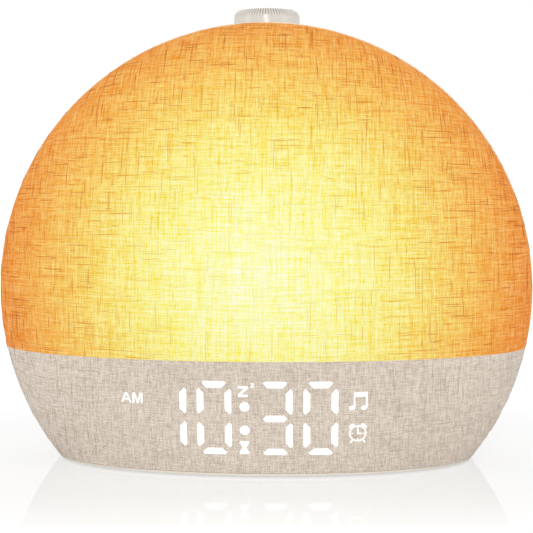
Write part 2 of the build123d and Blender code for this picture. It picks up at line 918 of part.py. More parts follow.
def make_speaker_frame():
    """Pressed basket: a flat flange, a cone-shaped wall with four windows and a rear plate."""
    back, front, plate, _ = speaker_levels()
    rim = cone_radius + surround_width
    foot = magnet_radius - basket_foot_inset
    eye = cone_neck_radius + basket_thickness
    inside = plate + basket_thickness
    frame = turned(
        (speaker_radius, back), (speaker_radius, front), (rim + basket_thickness, front),
        (foot + basket_taper, plate), (eye, plate), (eye, inside),
        (foot + basket_taper - basket_thickness, inside), (rim, front), (rim, back),
    )
    width, height = basket_window
    reach = rim + basket_window_reach
    window = block((reach - width, reach), (inside + basket_taper, front - basket_taper), about(0, height))
    for turn in basket_window_turns:
        frame -= Pos(0, 0, speaker_height) * Rot(0, turn, 0) * window
    return frame


def make_speaker_magnet():
    _, _, plate, end = speaker_levels()
    return rod_y(0, speaker_height, magnet_radius, end, plate)


def make_speaker_cone():
    """Paper cone on its voice coil former, with a dust dome over the neck."""
    _, front, plate, _ = speaker_levels()
    edge = front + cone_edge_rise
    neck = plate + cone_neck_rise
    former = plate + coil_gap
    crown = neck + dust_dome_rise
    inner = cone_neck_radius - cone_thickness
    dust = neck + cone_neck_rise / 3
    return turned(
        (cone_radius, edge), (cone_neck_radius, neck), (cone_neck_radius, former), (inner, former),
        (inner, dust), (dust_dome_radius, crown), (0, crown + cone_thickness),
        (0, crown + 2 * cone_thickness), (dust_dome_radius, crown + cone_thickness),
        (cone_neck_radius, dust), (cone_radius, edge + cone_thickness),
    )


def make_speaker_surround():
    """Half-roll rubber edge between the cone and the basket."""
    _, front, _, _ = speaker_levels()
    inner = cone_radius + surround_gap
    outer = cone_radius + surround_width - surround_gap
    low = front + cone_edge_rise
    high = low + cone_thickness
    left = inner + surround_width / 4
    right = outer - surround_width / 4
    return turned(
        (inner, low), (inner, high), (left, high + surround_roll), (right, high + surround_roll),
        (outer, high), (outer, low), (right, low + surround_roll), (left, low + surround_roll),
    )


def make_speaker_screws():
    _, front, _, _ = speaker_levels()
    return joined([
        Pos(x, front, z) * Rot(90, 0, 0) * screw(speaker_screw_size) for x, z in speaker_screw_spots()
    ])


# Knob and encoder

def make_knob_cap():
    """Hollow cap with a finely ribbed rounded edge and a hub for the shaft."""
    ceiling = knob_top - knob_crown
    inner = knob_radius - knob_wall
    profile = Plane.XZ * face_of(
        (0, hub_bottom), (hub_radius, hub_bottom), (hub_radius, ceiling), (inner, ceiling),
        (inner, knob_bottom), (knob_radius, knob_bottom), (knob_radius, knob_top), (0, knob_top),
    )
    rim = profile.vertices().sort_by_distance((knob_radius, 0, knob_top))[0]
    cap = revolve(fillet(rim, knob_edge_radius), Axis.Z, 360)

    # V grooves across the rounded edge
    reach = knob_edge_radius * (1 - math.sqrt(0.5))
    half_diagonal = math.pi * knob_radius / knob_rib_count
    outward = (half_diagonal - knob_rib_depth) * math.sqrt(0.5)
    side = half_diagonal * math.sqrt(2)
    groove = Rot(0, 135, 0) * Rot(0, 0, 45) * Box(side, side, knob_rib_length)
    groove = Pos(knob_radius - reach + outward, 0, knob_top - reach + outward) * groove
    cap -= [Rot(0, 0, step * 360 / knob_rib_count) * groove for step in range(knob_rib_count)]

    bore = rod_z(0, 0, shaft_radius + thread_clearance, 0, shaft_top + shaft_head_gap / 2)
    flat = block((-far, far), (shaft_radius - shaft_flat + thread_clearance, far), (0, far))
    return Pos(0, knob_y, 0) * (cap - (bore - flat))


def make_encoder_shaft():
    """Shaft with a D flat where the knob grips it."""
    shaft = rod_z(0, 0, shaft_radius, shaft_bottom, shaft_top)
    flat_low = hub_bottom - press_travel
    shaft -= block((-far, far), (shaft_radius - shaft_flat, far), (flat_low, far))
    return Pos(0, knob_y, 0) * shaft


def encoder_levels():
    top = well_under - fit_gap / 2
    return top - encoder_size[2], top


def make_encoder_body():
    low, top = encoder_levels()
    body = block(about(0, encoder_size[0]), about(knob_y, encoder_size[1]), (low, top))
    return body - rod_z(0, knob_y, shaft_radius + fit_gap, low + encoder_floor, far)


def make_encoder_bushing():
    _, top = encoder_levels()
    bushing = rod_z(0, knob_y, bushing_radius, top, well_floor + bushing_rise)
    return bushing - rod_z(0, knob_y, shaft_radius + thread_clearance, 0, far)


def make_encoder_washer():
    ring = rod_z(0, knob_y, washer_radius, well_floor, well_floor + washer_thickness)
    return ring - rod_z(0, knob_y, bushing_radius + thread_clearance, 0, far)


def make_encoder_nut():
    low = well_floor + washer_thickness
    hexagon = RegularPolygon(nut_flats / 2, 6, major_radius=False)
    nut = extrude(Pos(0, knob_y, low) * hexagon, nut_height)
    return nut - rod_z(0, knob_y, bushing_radius + thread_clearance, 0, far)


def make_encoder_plunger():
    """Slider under the shaft: it passes the press on and doesn't turn."""
    top = shaft_bottom - fit_gap / 2
    return rod_z(0, knob_y, plunger_radius, top - plunger_thickness, top)


def make_encoder_board():
    low, _ = encoder_levels()
    width, depth, thickness = encoder_board_size
    return block(about(0, width), about(knob_y, depth), (low - thickness, low))


# Push buttons

def make_button(x, z):
    """Round cap with a flange that keeps it behind the wall and a stem to its switch."""
    cap = rod_y(x, z, button_radius, flange_back - weld, shell_depth + button_stand)
    rim = cap.edges().sort_by(Axis.Y)[-1]
    cap = fillet(rim, button_edge)
    cap += rod_y(x, z, button_flange_radius, flange_front, flange_back)
    return cap + rod_y(x, z, button_stem_radius, flange_front - button_stem_length, flange_front + weld)


def make_button_switches():
    width, depth, height = switch_size
    top = button_board_back + depth
    switches = []
    for x, z in button_spots():
        body = block(about(x, width), (button_board_back, top), about(z, height))
        switches.append(body + rod_y(x, z, switch_plunger_radius, top - weld, switch_tip))
    return joined(switches)


def make_button_board():
    depth = (button_board_front, button_board_back)
    board = block(about(0, 2 * button_board_half), depth, about(button_height, button_board_height))
    for x, z in mirrored_spots((button_screw_x, button_height)):
        board -= rod_y(x, z, board_screw_size[2] + fit_gap, 0, far)
    return board


def make_button_board_screws():
    return joined([
        Pos(x, button_board_front, z) * Rot(90, 0, 0) * screw(board_screw_size)
        for x, z in mirrored_spots((button_screw_x, button_height))
    ])


# Inner cables

def ribbon(x, width, points, radius):
    """Flat cable: a filleted path of (y, z) points, swept at one x."""
    path = FilletPolyline(*[(x, y, z) for y, z in points], radius=radius)
    start = Plane(origin=path @ 0, x_dir=(1, 0, 0), z_dir=path % 0)
    return sweep(start * Rectangle(width, ribbon_thickness), path)


def make_lamp_ribbon():
    x, y, width, _ = lamp_socket
    plug_bottom = lamp_height - lamp_connector_drop - lamp_connector_size[2] / 2
    start = lamp_board_front + lamp_board_size[2] + lamp_connector_size[1] / 2
    end = board_top + connector_height
    run = lamp_ribbon_run
    points = ((start, plug_bottom), (start, plug_bottom - run), (y, end + run), (y, end))
    return ribbon(x, width - 2 * ribbon_side, points, lamp_ribbon_bend)


def make_display_ribbon():
    x, inset, width, _ = display_connector
    y = main_board_front + inset
    end = board_top + connector_height
    start = display_back + glue_gap / 2
    low = end + display_ribbon_bend
    high = low + display_ribbon_climb
    bend = start + display_ribbon_run
    lifted = bend + ribbon_side + display_ribbon_bend
    points = ((start, low), (bend, low), (lifted, high), (y, high), (y, end))
    return ribbon(x, width - 2 * ribbon_side, points, display_ribbon_bend)


def make_button_ribbon():
    x, y, width, _ = button_connector
    top = button_height - button_board_height / 2
    start = button_board_back - button_board_thickness / 2
    end = board_top + connector_height
    points = ((start, top), (start, top - button_ribbon_run), (y, top - button_ribbon_drop), (y, end))
    return ribbon(x, width - 2 * ribbon_side, points, button_ribbon_bend)


def make_encoder_ribbon():
    low, _ = encoder_levels()
    start = low - encoder_board_size[2]
    top = button_height + button_board_height / 2
    end = button_board_back - button_board_thickness / 2
    run = encoder_ribbon_run
    points = ((knob_y, start), (knob_y, start - run), (end, top + run), (end, top))
    return ribbon(0, encoder_ribbon_width, points, encoder_ribbon_bend)


def make_speaker_leads():
    """Two wires from the basket's terminals down to the board."""
    x, y, _, _ = speaker_connector
    _, front, _, _ = speaker_levels()
    end = board_top + connector_height
    start = speaker_height - speaker_radius + lead_spread
    leads = []
    for shift in (-lead_spread, lead_spread):
        points = (
            (shift, front - glue_gap / 2, start), (shift, front - lead_run, start),
            (shift, front - lead_run - ribbon_side, start - lead_drop),
            (x + shift, y, end + lead_climb), (x + shift, y, end),
        )
        path = FilletPolyline(*points, radius=lead_bend)
        section = Plane(origin=path @ 0, z_dir=path % 0) * Circle(lead_radius)
        leads.append(sweep(section, path))
    return joined(leads)


# Every node, by name

def make_all():
    nodes = {
        "fabric_cover": make_fabric_cover(),
        "light_diffuser": make_light_diffuser(),
        "lower_front_panel": make_lower_front_panel(),
        "light_baffle": make_light_baffle(),
        "reflector_tray": make_reflector_tray(),
        "lamp_board": make_lamp_board(),
        "lamp_leds": make_lamp_leds(),
        "lamp_connector": make_lamp_connector(),
        "lamp_board_screws": make_lamp_board_screws(),
        "segment_housing": make_segment_housing(),
        "segment_lenses": make_segment_lenses(),
        "display_board": make_display_board(),
        "display_leds": make_display_leds(),
        "display_screws": make_display_screws(),
        "rear_shell": make_rear_shell(),
        "speaker_grille": make_speaker_grille(),
        "shell_screws": make_shell_screws(),
        "base_plate": make_base_plate(),
        "rubber_feet": make_rubber_feet(),
        "base_screws": make_base_screws(),
        "battery_cap": make_battery_cap(),
        "coin_cell": make_coin_cell(),
        "battery_holder": make_battery_holder(),
        "battery_contact": make_battery_contact(),
        "main_board": make_main_board(),
        "main_board_screws": make_main_board_screws(),
        "board_chips": make_board_chips(),
        "capacitors": make_capacitors(),
        "board_connectors": make_board_connectors(),
        "power_jack": make_power_jack(),
        "speaker_gasket": make_speaker_gasket(),
        "speaker_frame": make_speaker_frame(),
        "speaker_magnet": make_speaker_magnet(),
        "speaker_cone": make_speaker_cone(),
        "speaker_surround": make_speaker_surround(),
        "speaker_screws": make_speaker_screws(),
        "knob_cap": make_knob_cap(),
        "encoder_shaft": make_encoder_shaft(),
        "encoder_body": make_encoder_body(),
        "encoder_bushing": make_encoder_bushing(),
        "encoder_washer": make_encoder_washer(),
        "encoder_nut": make_encoder_nut(),
        "encoder_plunger": make_encoder_plunger(),
        "encoder_board": make_encoder_board(),
        "button_switches": make_button_switches(),
        "button_board": make_button_board(),
        "button_board_screws": make_button_board_screws(),
        "lamp_ribbon": make_lamp_ribbon(),
        "display_ribbon": make_display_ribbon(),
        "button_ribbon": make_button_ribbon(),
        "encoder_ribbon": make_encoder_ribbon(),
        "speaker_leads": make_speaker_leads(),
    }
    button_names = ("button_alarm", "button_lamp", "button_sound", "button_sleep", "button_set")
    for name, (x, z) in zip(button_names, button_spots()):
        nodes[name] = make_button(x, z)
    return nodes


nodes = make_all()
for name, shape in nodes.items():
    export_step(shape, "parts/" + name + ".step")
    print(name, len(shape.solids()), "solids")
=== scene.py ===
import bpy
import json
import math
import numpy as np
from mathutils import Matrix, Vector
from mathutils.geometry import delaunay_2d_cdt


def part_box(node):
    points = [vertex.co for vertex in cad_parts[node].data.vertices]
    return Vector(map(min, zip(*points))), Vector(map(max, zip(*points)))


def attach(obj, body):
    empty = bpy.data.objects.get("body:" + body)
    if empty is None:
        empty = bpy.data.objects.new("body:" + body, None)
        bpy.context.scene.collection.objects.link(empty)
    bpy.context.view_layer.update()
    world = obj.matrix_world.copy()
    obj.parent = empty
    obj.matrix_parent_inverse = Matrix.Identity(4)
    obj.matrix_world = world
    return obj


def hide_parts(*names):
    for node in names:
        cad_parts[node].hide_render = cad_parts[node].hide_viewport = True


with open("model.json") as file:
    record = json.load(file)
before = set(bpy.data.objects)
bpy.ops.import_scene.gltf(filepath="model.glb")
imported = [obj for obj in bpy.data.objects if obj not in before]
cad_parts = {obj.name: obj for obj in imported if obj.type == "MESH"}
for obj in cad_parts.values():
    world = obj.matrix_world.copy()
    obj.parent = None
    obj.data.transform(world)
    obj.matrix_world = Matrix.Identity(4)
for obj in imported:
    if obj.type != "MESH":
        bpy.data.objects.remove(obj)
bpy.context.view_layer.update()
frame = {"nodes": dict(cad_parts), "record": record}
nodes = frame["nodes"]
mm = 0.001
print("frame loaded:", len(nodes), "nodes")


# short ways to build objects and nodes

def srgb(red, green, blue):
    # 0-255 screen colour to scene linear
    def linear(value):
        value = value / 255
        return value / 12.92 if value <= 0.04045 else ((value + 0.055) / 1.055) ** 2.4
    return (linear(red), linear(green), linear(blue), 1.0)


def placed(name, data):
    thing = bpy.data.objects.new(name, data)
    bpy.context.scene.collection.objects.link(thing)
    return thing


def plug(tree, socket, value):
    # a link from a node's first socket or the one given, else the plain value
    if isinstance(value, bpy.types.Node):
        value = value.outputs[0]
    if isinstance(value, bpy.types.NodeSocket):
        tree.links.new(value, socket)
    else:
        socket.default_value = value


def socketOf(sockets, name):
    return next(socket for socket in sockets if socket.name == name and socket.enabled)


def makeNode(tree, kind, sockets=None, **settings):
    # a node with its settings, and its sockets by number or by name
    node = tree.nodes.new(kind)
    for name, value in settings.items():
        setattr(node, name, value)
    for key, value in (sockets or {}).items():
        plug(tree, node.inputs[key] if isinstance(key, int) else socketOf(node.inputs, key), value)
    return node


def emptyTree(owner):
    # the cleared nodes of a material or a world
    owner.use_nodes = True
    owner.node_tree.nodes.clear()
    return owner.node_tree


def newMaterial(name):
    mat = bpy.data.materials.new(name)
    tree = emptyTree(mat)
    shader = makeNode(tree, "ShaderNodeBsdfPrincipled")
    makeNode(tree, "ShaderNodeOutputMaterial", {"Surface": shader})
    return mat, tree, shader


def setSurface(tree, shader, surface):
    for name, value in surface.items():
        plug(tree, shader.inputs[name], value)


def maths(tree, operation, first, second=0.0):
    return makeNode(tree, "ShaderNodeMath", {0: first, 1: second}, operation=operation)


def added(tree, first, second):
    return maths(tree, "ADD", first, second)


def times(tree, first, second):
    return maths(tree, "MULTIPLY", first, second)


def noise(tree, vector, scale, detail=2.0, rough=0.5, seed=0.0):
    return makeNode(tree, "ShaderNodeTexNoise",
                    {"Vector": vector, "W": seed, "Scale": scale, "Detail": detail,
                     "Roughness": rough}, noise_dimensions="4D").outputs["Fac"]


def stretched(tree, vector, scale, turn=(0, 0, 0), shift=(0, 0, 0)):
    sockets = {"Vector": vector, "Scale": scale, "Rotation": turn, "Location": shift}
    return makeNode(tree, "ShaderNodeMapping", sockets)


def ranged(tree, value, low, high, toLow=0.0, toHigh=1.0):
    return makeNode(tree, "ShaderNodeMapRange",
                    {"Value": value, "From Min": low, "From Max": high, "To Min": toLow,
                     "To Max": toHigh})


def blended(tree, factor, first, second, mode="MIX"):
    return makeNode(tree, "ShaderNodeMix", {0: factor, 6: first, 7: second},
                    data_type="RGBA", blend_type=mode).outputs[2]


def ramp(tree, value, stops):
    node = makeNode(tree, "ShaderNodeValToRGB", {0: value})
    elements = node.color_ramp.elements
    while len(elements) < len(stops):
        elements.new(0.5)
    for element, (place, colour) in zip(elements, stops):
        element.position = place
        element.color = colour
    return node


def colourOf(tree, red, green, blue):
    return makeNode(tree, "ShaderNodeCombineColor", {0: red, 1: green, 2: blue})


def axesOf(tree, vector):
    return makeNode(tree, "ShaderNodeSeparateXYZ", {0: vector}).outputs


def vectorMaths(tree, operation, *values):
    sockets = dict(enumerate(values))
    return makeNode(tree, "ShaderNodeVectorMath", sockets, operation=operation)


def lengthOf(tree, vector):
    return vectorMaths(tree, "LENGTH", vector).outputs["Value"]


def objectPlace(tree):
    return makeNode(tree, "ShaderNodeTexCoord").outputs["Object"]


def bump(tree, shader, height, strength, distance):
    sockets = {"Strength": strength, "Distance": distance, "Height": height}
    plug(tree, shader.inputs["Normal"], makeNode(tree, "ShaderNodeBump", sockets))


def seenByCamera(tree):
    # 1 for what the camera sees, also in a mirror or through glass
    rays = makeNode(tree, "ShaderNodeLightPath").outputs
    seen = maths(tree, "MAXIMUM", rays["Is Camera Ray"], rays["Is Glossy Ray"])
    return maths(tree, "MAXIMUM", seen, rays["Is Transmission Ray"])


def geometryTree(name, sizes):
    # an empty tree with one named input for each size, and the sockets by name
    tree = bpy.data.node_groups.new(name, "GeometryNodeTree")
    tree.interface.new_socket("Geometry", in_out="OUTPUT", socket_type="NodeSocketGeometry")
    kinds = {int: "NodeSocketInt", float: "NodeSocketFloat", bpy.types.Object: "NodeSocketObject"}
    for label, value in sizes.items():
        tree.interface.new_socket(label, in_out="INPUT", socket_type=kinds[type(value)])
    inlet = tree.nodes.new("NodeGroupInput")
    return tree, {label: inlet.outputs[label] for label in sizes}


def finishTree(tree, geometry, material):
    whole = makeNode(tree, "GeometryNodeRealizeInstances", {"Geometry": geometry})
    painted = makeNode(tree, "GeometryNodeSetMaterial", {"Geometry": whole, "Material": material})
    makeNode(tree, "NodeGroupOutput", {0: painted})


def grown(name, tree, sizes):
    # a plain mesh piece grown by a tree of geometry nodes
    seed = placed(name + " seed", bpy.data.meshes.new(name + " seed"))
    modifier = seed.modifiers.new("grow", "NODES")
    modifier.node_group = tree
    for item in tree.interface.items_tree:
        if item.in_out == "INPUT":
            modifier[item.identifier] = sizes[item.name]
    bpy.context.view_layer.update()
    graph = bpy.context.evaluated_depsgraph_get()
    mesh = bpy.data.meshes.new_from_object(seed.evaluated_get(graph))
    bpy.data.objects.remove(seed)
    mesh.name = name
    print(name + ":", len(mesh.polygons), "faces")
    return placed(name, mesh)


# the cloth dome: how far out and how far forward it reaches

clothBoxLow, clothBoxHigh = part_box("fabric_cover")
dome = {
    "radius": clothBoxHigh.x,
    "depth": -clothBoxLow.y,
    "centre": clothBoxHigh.z - clothBoxHigh.x,
    "bottom": clothBoxLow.z,
    "horizon": (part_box("light_baffle")[0].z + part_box("light_baffle")[1].z) / 2,
    "handle": 0.5523,       # bends a Bezier curve into a quarter ellipse
    "thickness": 0.6 * mm,
    "bow": 0.4,             # 0 keeps the threads straight from the front, 1 unstretched
}


def domeProfile(t):
    # distance from the dome's axis and reach in front of the parting plane
    s = 1 - t
    across = dome["radius"] * (3 * s * s * t * dome["handle"] + 3 * s * t * t + t ** 3)
    reach = dome["depth"] * (s ** 3 + 3 * s * s * t + 3 * s * t * t * dome["handle"])
    return across, reach


profileT = np.linspace(0, 1, 4001)
profileAcross, profileReach = domeProfile(profileT)
profileSteps = np.hypot(np.diff(profileAcross), np.diff(profileReach))
profileArc = np.concatenate([[0], np.cumsum(profileSteps)])
flatRadius = profileArc[-1]
smallest = 1e-9     # keeps a division by a distance safe at the middle


def clothToDome(a, b):
    # a point of the flat cloth, measured from the dome's middle, to its place in space
    arc = np.hypot(a, b)
    across, reach = domeProfile(np.interp(arc, profileArc, profileT))
    safe = np.maximum(arc, smallest)
    return np.stack([across * a / safe, -reach, dome["centre"] + across * b / safe], axis=-1)


def frontToCloth(x, z):
    # a point seen from the front to its place on the flat cloth
    up = z - dome["centre"]
    across = np.minimum(np.hypot(x, up), dome["radius"])
    arc = np.interp(across, profileAcross, profileArc)
    safe = np.maximum(np.hypot(x, up), smallest)
    return np.stack([x * arc / safe, up * arc / safe], axis=-1)


def wovenPlace(flat):
    # the cloth is stretched most near the rim, so its threads bow out only a little
    place = clothToDome(flat[:, 0], flat[:, 1])
    seen = np.stack([place[:, 0], place[:, 2] - dome["centre"]], axis=-1)
    return seen + (flat - seen) * dome["bow"]


# what the display shows, as outlines seen from the front, in millimetres

display = {
    "middle": 21.2,
    "colonX": -5.12,
    "digitWidth": 11.7,
    "digitHeight": 25.8,
    "digitPitch": 15.2,
    "colonToDigit": 10.2,
    "stroke": 2.34,
    "uprightLength": 8.9,
    "levelLength": 8.2,
    "apexShift": 0.2,
    "dotRadius": 1.68,
    "dotRise": 4.1,
    "slope": -0.003,
    "step": 0.7,
    # places of the marks, measured from the colon across and from the ground up
    "marks": {
        "morning": (-42.1, 25.5),
        "sleepLarge": (-2.2, 28.7),
        "sleepSmall": (2.0, 32.0),
        "timer": (-0.2, 8.6),
        "sound": (34.8, 24.0),
        "alarm": (37.8, 15.8),
    },
    # width, height and weight of the two letters for sleep, and width and height of the timer
    "sleepLargeSize": (3.3, 3.8, 0.85),
    "sleepSmallSize": (1.2, 1.5, 0.42),
    "timerSize": (3.2, 4.6),
}


def moved(shapes, across, up, share=1.0):
    return [[[((x + across) * share, (z + up) * share) for x, z in loop] for loop in shape]
            for shape in shapes]


def bar(x, z, length, upright, lean):
    # six-sided segment whose points lie nearer its outer side
    half = length / 2
    side = display["stroke"] / 2
    apex = lean * display["apexShift"] * display["stroke"]
    near, away = side - apex, side + apex
    points = [(-half, apex), (-half + away, -side), (half - away, -side),
              (half, apex), (half - near, side), (-half + near, side)]
    if upright:
        points = [(across, along) for along, across in points]
    return [[(x + across, z + along) for across, along in points]]


def digit(x, lit):
    arm = (display["digitWidth"] - display["stroke"]) / 2
    rise = (display["digitHeight"] - display["stroke"]) / 2
    middle = display["middle"]
    shapes = []
    for name, level in (("top", 1), ("middle", 0), ("bottom", -1)):
        if name in lit:
            shapes.append(bar(x, middle + level * rise, display["levelLength"], False, level))
    for side, letter in ((-1, "left"), (1, "right")):
        for level, word in ((1, "Upper"), (-1, "Lower")):
            if letter + word in lit:
                shapes.append(bar(x + side * arm, middle + level * rise / 2,
                                  display["uprightLength"], True, side))
    return shapes


def disc(x, z, radiusX, radiusZ=None, tilt=0.0, count=28, start=0.0, sweep=2 * math.pi):
    # a closed round outline, or with a smaller sweep an arc from its first to its last point
    radiusZ = radiusZ or radiusX
    closed = abs(sweep - 2 * math.pi) < 0.01
    points = []
    for step in range(count):
        angle = start + sweep * step / (count if closed else count - 1)
        across, up = radiusX * math.cos(angle), radiusZ * math.sin(angle)
        points.append((x + across * math.cos(tilt) - up * math.sin(tilt),
                       z + across * math.sin(tilt) + up * math.cos(tilt)))
    return points


def stroke(x0, z0, x1, z1, width):
    length = math.hypot(x1 - x0, z1 - z0)
    across, up = -(z1 - z0) / length * width / 2, (x1 - x0) / length * width / 2
    return [(x0 + across, z0 + up), (x1 + across, z1 + up),
            (x1 - across, z1 - up), (x0 - across, z0 - up)]


def letterZ(width, height, weight):
    slant = weight * 1.35
    low, high = weight, height - weight
    return [[[(0, 0), (width, 0), (width, low), (slant, low), (width, high), (width, height),
              (0, height), (0, high), (width - slant, high), (0, low)]]]


def hourglass(width, height, cap=0.65, waist=0.68):
    side, middle, high = width / 2, height / 2, height - cap
    return [[[(-side, 0), (side, 0), (side, cap), (waist, middle), (side, high), (side, height),
              (-side, height), (-side, high), (-waist, middle), (-side, cap)]]]


# each letter is its outline and then its hole
lettersAm = [
    [[(0, 0), (0.72, 0), (1.02, 0.95), (2.68, 0.95), (2.98, 0), (3.7, 0), (2.27, 3.55),
      (1.43, 3.55)], [(1.3, 1.55), (2.4, 1.55), (1.85, 2.75)]],
    [[(4, 0), (4.72, 0), (4.72, 2.5), (5.47, 0), (6.13, 0), (6.88, 2.5), (6.88, 0), (7.6, 0),
      (7.6, 3.55), (6.6, 3.55), (5.8, 1), (5, 3.55), (4, 3.55)]],
]

# two heads, and two stems under a slanted beam
musicNote = [
    [disc(1.0, 0.85, 1.0, 0.82, 0.3)],
    [disc(5.05, 0.85, 1.0, 0.82, 0.3)],
    [[(1.5, 0.8), (2.1, 0.8), (2.1, 4.6), (5.6, 4.7), (5.6, 0.8), (6.2, 0.8), (6.2, 6.4),
      (1.5, 6.2)]],
]

alarmFace = {
    "radius": 2.95,
    "inner": 2.4,
    "hands": [(-0.22, -0.3), (1.3, -0.3), (1.3, 0.18), (0.24, 0.18), (0.24, 1.7), (-0.22, 1.7)],
    "bellAway": 3.05,
    "bellLean": math.radians(38),
    "bellSize": (1.3, 0.95),
    "foot": (1.75, -2.45, 2.5, -3.3, 0.6),
    "tickWidth": 0.42,
    "tickAcross": (1.6, 2.35),
    "tickUp": (1.75, 2.35),
}


def alarmMark():
    # a round face with its hands, two bells and two feet
    ring = [disc(0, 0, alarmFace["radius"]), disc(0, 0, alarmFace["inner"])]
    shapes = [ring, [alarmFace["hands"]]]
    for side in (-1, 1):
        lean = side * alarmFace["bellLean"]
        x, z = -alarmFace["bellAway"] * math.sin(lean), alarmFace["bellAway"] * math.cos(lean)
        shapes.append([disc(x, z, *alarmFace["bellSize"], lean, count=14, sweep=math.pi)])
        x0, z0, x1, z1, width = alarmFace["foot"]
        shapes.append([stroke(side * x0, z0, side * x1, z1, width)])
    return shapes


def alarmTicks():
    near, far = alarmFace["tickAcross"]
    low, high = alarmFace["tickUp"]
    ends = [(-near, 0, -far, 0), (near, 0, far, 0), (0, -low, 0, -high), (0, low, 0, high)]
    return [[stroke(*end, alarmFace["tickWidth"])] for end in ends]


def displayShapes():
    colon, middle = display["colonX"], display["middle"]
    second, third = colon - display["colonToDigit"], colon + display["colonToDigit"]
    rightSide = ("rightUpper", "rightLower")
    zero = ("top", "bottom", "leftUpper", "leftLower") + rightSide
    shapes = digit(second - display["digitPitch"], rightSide)
    shapes += digit(second, zero)
    shapes += digit(third, ("top", "middle", "bottom") + rightSide)
    shapes += digit(third + display["digitPitch"], zero)
    for side in (-1, 1):
        shapes.append([disc(colon, middle + side * display["dotRise"], display["dotRadius"])])
    outlines = {
        "morning": lettersAm,
        "sleepLarge": letterZ(*display["sleepLargeSize"]),
        "sleepSmall": letterZ(*display["sleepSmallSize"]),
        "timer": hourglass(*display["timerSize"]),
        "sound": musicNote,
        "alarm": alarmMark() + alarmTicks(),
    }
    for name, (across, up) in display["marks"].items():
        shapes += moved(outlines[name], colon + across, up)
    return shapes


def subdivided(loop):
    # the same outline in short steps, tilted with the whole display, in metres
    points = []
    for (x0, z0), (x1, z1) in zip(loop, loop[1:] + loop[:1]):
        count = max(1, int(math.hypot(x1 - x0, z1 - z0) / display["step"]))
        for step in range(count):
            share = step / count
            x, z = x0 + (x1 - x0) * share, z0 + (z1 - z0) * share
            points.append((x * mm, (z + display["slope"] * (x - display["colonX"])) * mm))
    return np.array(points)


def insideLoop(x, z, loop):
    # even-odd test of many points against one outline
    inside = np.zeros(len(x), bool)
    x1, z1 = loop[-1]
    for x0, z0 in loop:
        if z0 != z1:
            crosses = ((z0 > z) != (z1 > z)) & (x < (x1 - x0) * (z - z0) / (z1 - z0) + x0)
            inside ^= crosses
        x1, z1 = x0, z0
    return inside


def covered(x, z, shapes):
    # inside any of the shapes, where a loop inside another one is a hole
    inside = np.zeros(len(x), bool)
    for shape in shapes:
        odd = np.zeros(len(x), bool)
        for loop in shape:
            odd ^= insideLoop(x, z, loop)
        inside |= odd
    return inside


def closedEdges(loops):
    points, edges = [], []
    for loop in loops:
        first = len(points)
        points += [tuple(point) for point in loop]
        edges += [(first + i, first + (i + 1) % len(loop)) for i in range(len(loop))]
    return points, edges


samePoint = 1e-7    # points nearer than this are one


def triangulated(points, edges):
    result = delaunay_2d_cdt([Vector(point) for point in points], edges, [], 0, samePoint)
    coords, faces = result[0], result[2]
    return (np.array([tuple(point) for point in coords]),
            np.array([list(face) for face in faces if len(face) == 3]))


# one sheet of cloth, with an edge wherever its light changes

clothMesh = {
    "cell": 1.7 * mm,
    "rim": 1.1 * mm,
    "clear": 0.55 * mm,
    "horizonSteps": 240,
}


def clothBoundary():
    # round the parting plane from lower right to lower left, then along the bottom cut
    cut = dome["bottom"] - dome["centre"]
    reach = math.sqrt(dome["radius"] ** 2 - cut ** 2)
    corner = math.atan2(cut, reach)
    count = int(flatRadius * (math.pi - 2 * corner) / clothMesh["rim"])
    angles = np.linspace(corner, math.pi - corner, count)
    rim = np.stack([flatRadius * np.cos(angles), flatRadius * np.sin(angles)], axis=-1)
    x = np.linspace(-reach, reach, int(2 * reach / clothMesh["rim"]))[1:-1]
    return np.concatenate([rim, frontToCloth(x, dome["bottom"])])


def horizonLine():
    rise = dome["horizon"] - dome["centre"]
    reach = math.sqrt(dome["radius"] ** 2 - rise ** 2)
    x = reach * np.sin(np.linspace(-math.pi / 2, math.pi / 2, clothMesh["horizonSteps"]))
    return frontToCloth(x, dome["horizon"])


def clothTriangles(shapes):
    # flat points and triangles with the rim, the horizon and every lit outline as edges
    loops = [clothBoundary()] + [frontToCloth(*loop.T) for shape in shapes for loop in shape]
    points, edges = closedEdges(loops)
    line = horizonLine()
    first = len(points)
    points += line.tolist()
    edges += [(first + i, first + i + 1) for i in range(len(line) - 1)]
    count = int(flatRadius / clothMesh["cell"]) + 1
    steps = np.arange(-count, count + 1) * clothMesh["cell"]
    a, b = [grid.ravel() for grid in np.meshgrid(steps, steps)]
    a = a + (np.round(b / clothMesh["cell"]) % 2) * clothMesh["cell"] / 2   # staggered rows
    place = clothToDome(a, b)
    keep = np.hypot(a, b) < flatRadius - clothMesh["clear"]
    keep &= place[:, 2] > dome["bottom"] + clothMesh["clear"]
    keep &= np.abs(place[:, 2] - dome["horizon"]) > clothMesh["clear"]
    points += np.stack([a[keep], b[keep]], axis=-1).tolist()
    return triangulated(points, edges)


